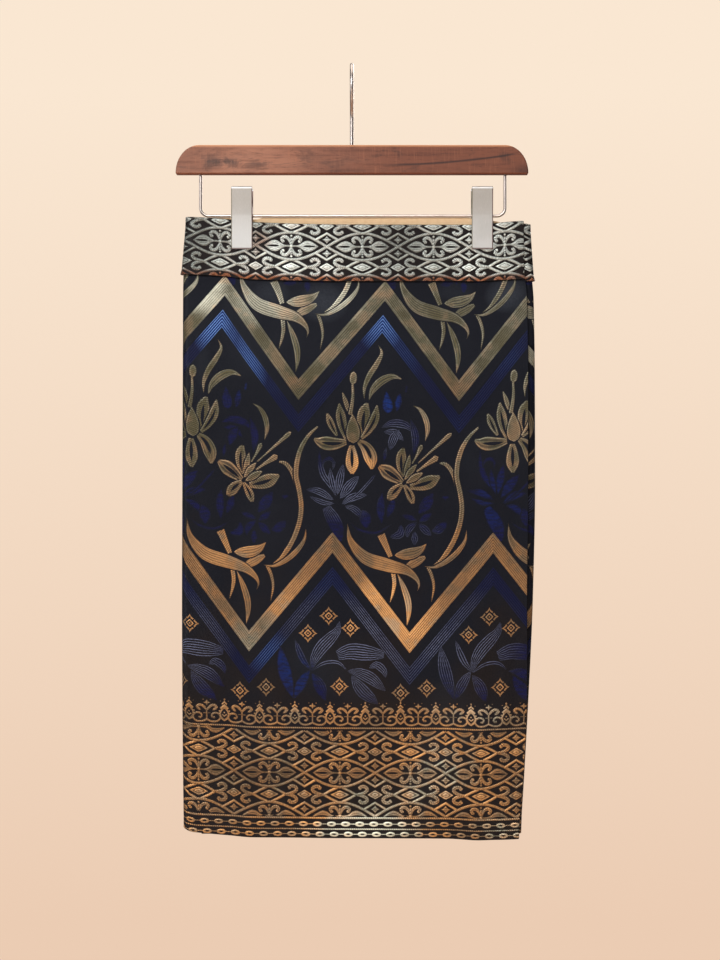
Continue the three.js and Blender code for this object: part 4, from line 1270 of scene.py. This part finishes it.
def jawDepth(z):
    # the jaws close downwards, with a bend at the wire
    share = (z - frameWire["z"]) / (clipSize["top"] - frameWire["z"])
    low, high = clipSize["pivotDepth"], clipSize["topDepth"]
    if share <= 0:
        share = (z - clipSize["bottom"]) / (frameWire["z"] - clipSize["bottom"])
        low, high = clipSize["gripDepth"], clipSize["pivotDepth"]
    return low + share * (high - low)


def makeJaw(name, x, facing, node):
    size = clipSize
    half, sheet = size["width"] / 2, size["sheet"]
    profile = [(jawDepth(z) - sheet / 2, z) for z in (size["bottom"], *size["rows"])]
    # the top is rolled over
    profile += [(size["topDepth"] - sheet / 2 - a, size["top"] - sheet / 2 - b)
                for a, b in ((0.15, 0.45), (0.6, 0.05), (1.3, 0.0), (1.75, 0.35), (1.9, 0.9))]
    clear()
    depth, z = profile[0]
    start = Vector((x, facing * depth, z)) * mm
    bpy.ops.mesh.primitive_plane_add(size=1, location=start)
    jaw = settle(name)
    mode("EDIT")
    # the first plane shrinks to the lower edge, and the plate is drawn up from it
    takeAll()
    bpy.ops.transform.resize(value=((size["width"] - size["narrowed"]) * mm, 0, 0), center_override=start)
    bpy.ops.mesh.remove_doubles(threshold=0.00001)
    for nextDepth, nextZ in profile[1:]:
        draw(0, facing * (nextDepth - depth), nextZ - z)
        depth, z = nextDepth, nextZ
    # both long sides turn in, and tabs on them reach over the wire
    inset = 0 if facing < 0 else size["backEarInset"]
    for side in (-1, 1):
        outer = x + side * (half - size["narrowed"] / 2)
        pick("edges", lambda edge, at: abs(at.x - outer) < 0.1 and at.z < size["top"] - 1)
        for aside, back in ((size["turnedIn"], 0.3), (0, 0.5)):
            draw(side * aside, -facing * back, 0)
        edgeX = outer + side * size["turnedIn"]
        pick("edges", lambda edge, at: abs(at.x - edgeX) < 0.05 and len(edge.link_faces) == 1
             and size["earBottom"] < at.z < size["earTop"])
        for aside, back in zip((inset, 0, 0), size["earSteps"]):
            draw(-side * aside, -facing * back, 0)
        foot = (0, 0, size["earBottom"] * mm)
        bpy.ops.transform.resize(value=(1, 1, size["earTaper"]), center_override=foot)
    merge()
    facesOut()
    mode("OBJECT")
    wall = jaw.modifiers.new("wall", "SOLIDIFY")
    wall.thickness = sheet * mm
    wall.offset = 0
    soften = jaw.modifiers.new("soften", "BEVEL")
    soften.width = size["soften"] * mm
    soften.segments = 2
    soften.limit_method = "ANGLE"
    for modifier in ("wall", "soften"):
        bpy.ops.object.modifier_apply(modifier=modifier)
    finishPiece(jaw, steelFinish(name + "Steel", x), node, 30, True)


def makeSpring(name, x, node):
    size = clipSize
    coil = frameWire["wire"] + play + size["spring"]
    legTop = size["top"] - size["legBelow"]
    legDepth = jawDepth(legTop) - size["sheet"] - play - size["spring"]
    ends = [x - size["springHalf"], x + size["springHalf"]]
    clear()
    bpy.ops.mesh.primitive_circle_add(vertices=8, radius=size["spring"] * mm, fill_type="NOTHING",
                                      location=(ends[0] * mm, 0, frameWire["z"] * mm))
    spring = bpy.context.object
    mode("EDIT")
    takeAll()
    bpy.ops.transform.translate(value=(0, -coil * mm, 0))
    mode("OBJECT")
    wind = spring.modifiers.new("wind", "SCREW")
    wind.axis = "X"
    wind.angle = -2 * math.pi * size["turns"]
    wind.screw_offset = 2 * size["springHalf"] * mm
    wind.steps = wind.render_steps = 60
    bpy.ops.object.modifier_apply(modifier="wind")
    settle(name)
    mode("EDIT")
    for side, endX in zip((-1, 1), ends):
        pick("verts", lambda corner, at: abs(at.x - endX) < 0.6 and abs(at.y - side * coil) < 0.55
             and abs(at.z - frameWire["z"]) < 0.05)
        draw(0, side * (legDepth - coil), legTop - frameWire["z"])
    wireEnd(name, chromeFinish(name + "Wire"), node)


def walnutFinish():
    # stained wood: mottled and paler to the left, with grain along the bar and a dark vein at the right
    finish = Finish("walnut")
    where = finish.place()
    x, _, z = finish.parts(where)
    drift = finish.drawn(where, (9, 40, 40), 3.0)
    grain = finish.drawn(where, (14, 300, 300), 4.0, 0.6, 0.3)
    pores = finish.drawn(where, (120, 1300, 1300))
    mottle = finish.drawn(where, (30, 75, 75), 4.0, 0.65, 0.8)
    curl = finish.drawn(where, (900, 60, 60), 2.0, 0.5)
    left = x.step(0.06, -0.14)
    middleBand = (1 - ((z + 0.0955) * 115).size()).held()
    # the vein rises to the right
    rise = z - (-0.0985 + (x - 0.030) * (x - 0.030) * 0.62) - (drift - 0.5) * 0.003
    vein = (1 - (rise * 620).size()).held() * x.step(0.02, 0.06) * (1 - x.step(0.155, 0.168))
    knot = x.step(0.150, 0.176) * z.step(-0.092, -0.106)
    base = finish.layered(
        finish.blend(left, rgb(116, 66, 44), rgb(168, 114, 87)),
        (drift.step(0.40, 0.68) * 0.55, (96, 54, 38)),
        (grain.step(0.48, 0.72) * 0.5, (78, 44, 32)),
        (left * middleBand * mottle.step(0.44, 0.58) * 0.85, (70, 54, 47)),
        (mottle.step(0.52, 0.70) * 0.5, (66, 40, 31)),
        (curl.step(0.5, 0.8) * 0.22, (176, 112, 78)),
        (pores.step(0.56, 0.74) * 0.5, (58, 34, 26)),
        (vein * 0.95, (40, 25, 21)),
        (knot * 0.7, (58, 30, 22)),
        (z.step(-0.0815, -0.0795) * 0.75, (200, 136, 92)),        # the upper edge is paler: a painted highlight where the rounded edge catches the light
        ((0 - z).step(0.1060, 0.1068) * 0.7, (112, 54, 24)))      # the lower one is darker: painted shade
    rough = 0.42 + 0.2 * grain + 0.15 * pores
    return finish.surface(grain * 0.4 + pores * 0.6, 0.3, 0.0004, Base_Color=base, Roughness=rough,
                          Coat_Weight=0.08, Coat_Roughness=0.3, Specular_IOR_Level=0.3)


def chromeFinish(name):
    finish = Finish(name)
    cloud = finish.noise(finish.place(), 60.0, 3.0)
    shade = finish.blend(cloud, rgb(182, 168, 158), rgb(208, 197, 188))
    return finish.surface(cloud, 0.03, 0.0002, Base_Color=shade, Roughness=0.30 + 0.06 * cloud, Metallic=1.0)


def steelFinish(name, x):
    # pressed sheet, brushed downwards, with a painted highlight on the rolled top, painted shade along the
    # very top and the foot, and painted shade along the turned edges
    finish = Finish(name)
    where = finish.place()
    atX, _, z = finish.parts(where)
    brushed = finish.drawn(where, (3200, 3200, 60))
    cloud = finish.noise(where, 45.0, 3.0)
    across = (atX - x * mm) * (1 / (0.5 * clipSize["width"] * mm))
    top, bottom = clipSize["top"] * mm, clipSize["bottom"] * mm
    # a painted highlight along the rolled top
    lipHighlight = z.step(top - 0.0026, top - 0.0020) * (1 - z.step(top - 0.0012, top - 0.0008))
    shade = finish.layered(
        finish.blend(z.step(-0.125, -0.180), rgb(172, 167, 158), rgb(192, 191, 186)),
        (cloud.step(0.45, 0.7) * 0.25, (160, 155, 146)),
        (brushed.step(0.45, 0.8) * 0.25, (216, 214, 210)),
        (across.step(0.89, 0.94) * 0.85, (96, 64, 58)),             # painted shade along the right edge, then the left
        ((0 - across).step(0.90, 0.95) * 0.75, (112, 104, 80)),
        (lipHighlight * 0.8, (250, 250, 248)),
        # painted shade along the very top, above the highlight
        (z.step(top - 0.0009, top - 0.0004) * 0.6, (110, 98, 88)),
        # painted shade along the foot
        ((0 - z).step(-bottom - 0.0016, -bottom - 0.0008) * 0.8, (92, 66, 60)))
    rough = 0.42 + 0.12 * brushed + 0.06 * cloud
    return finish.surface(brushed, 0.10, 0.0003, Base_Color=shade, Roughness=rough, Metallic=0.8)


def makeHanger():
    makeBar()
    makeHook()
    makeFrameWire()
    for side, x in clipPlaces.items():
        makeJaw(f"{side}ClipFront", x, -1, f"{side}_clip_front")
        makeJaw(f"{side}ClipBack", x, 1, f"{side}_clip_back")
        makeSpring(f"{side}ClipSpring", x, f"{side}_clip_spring")
    print("hanger made")


makeStudio()
print("studio made")
makeHanger()
for piece, flat in makeCloth():
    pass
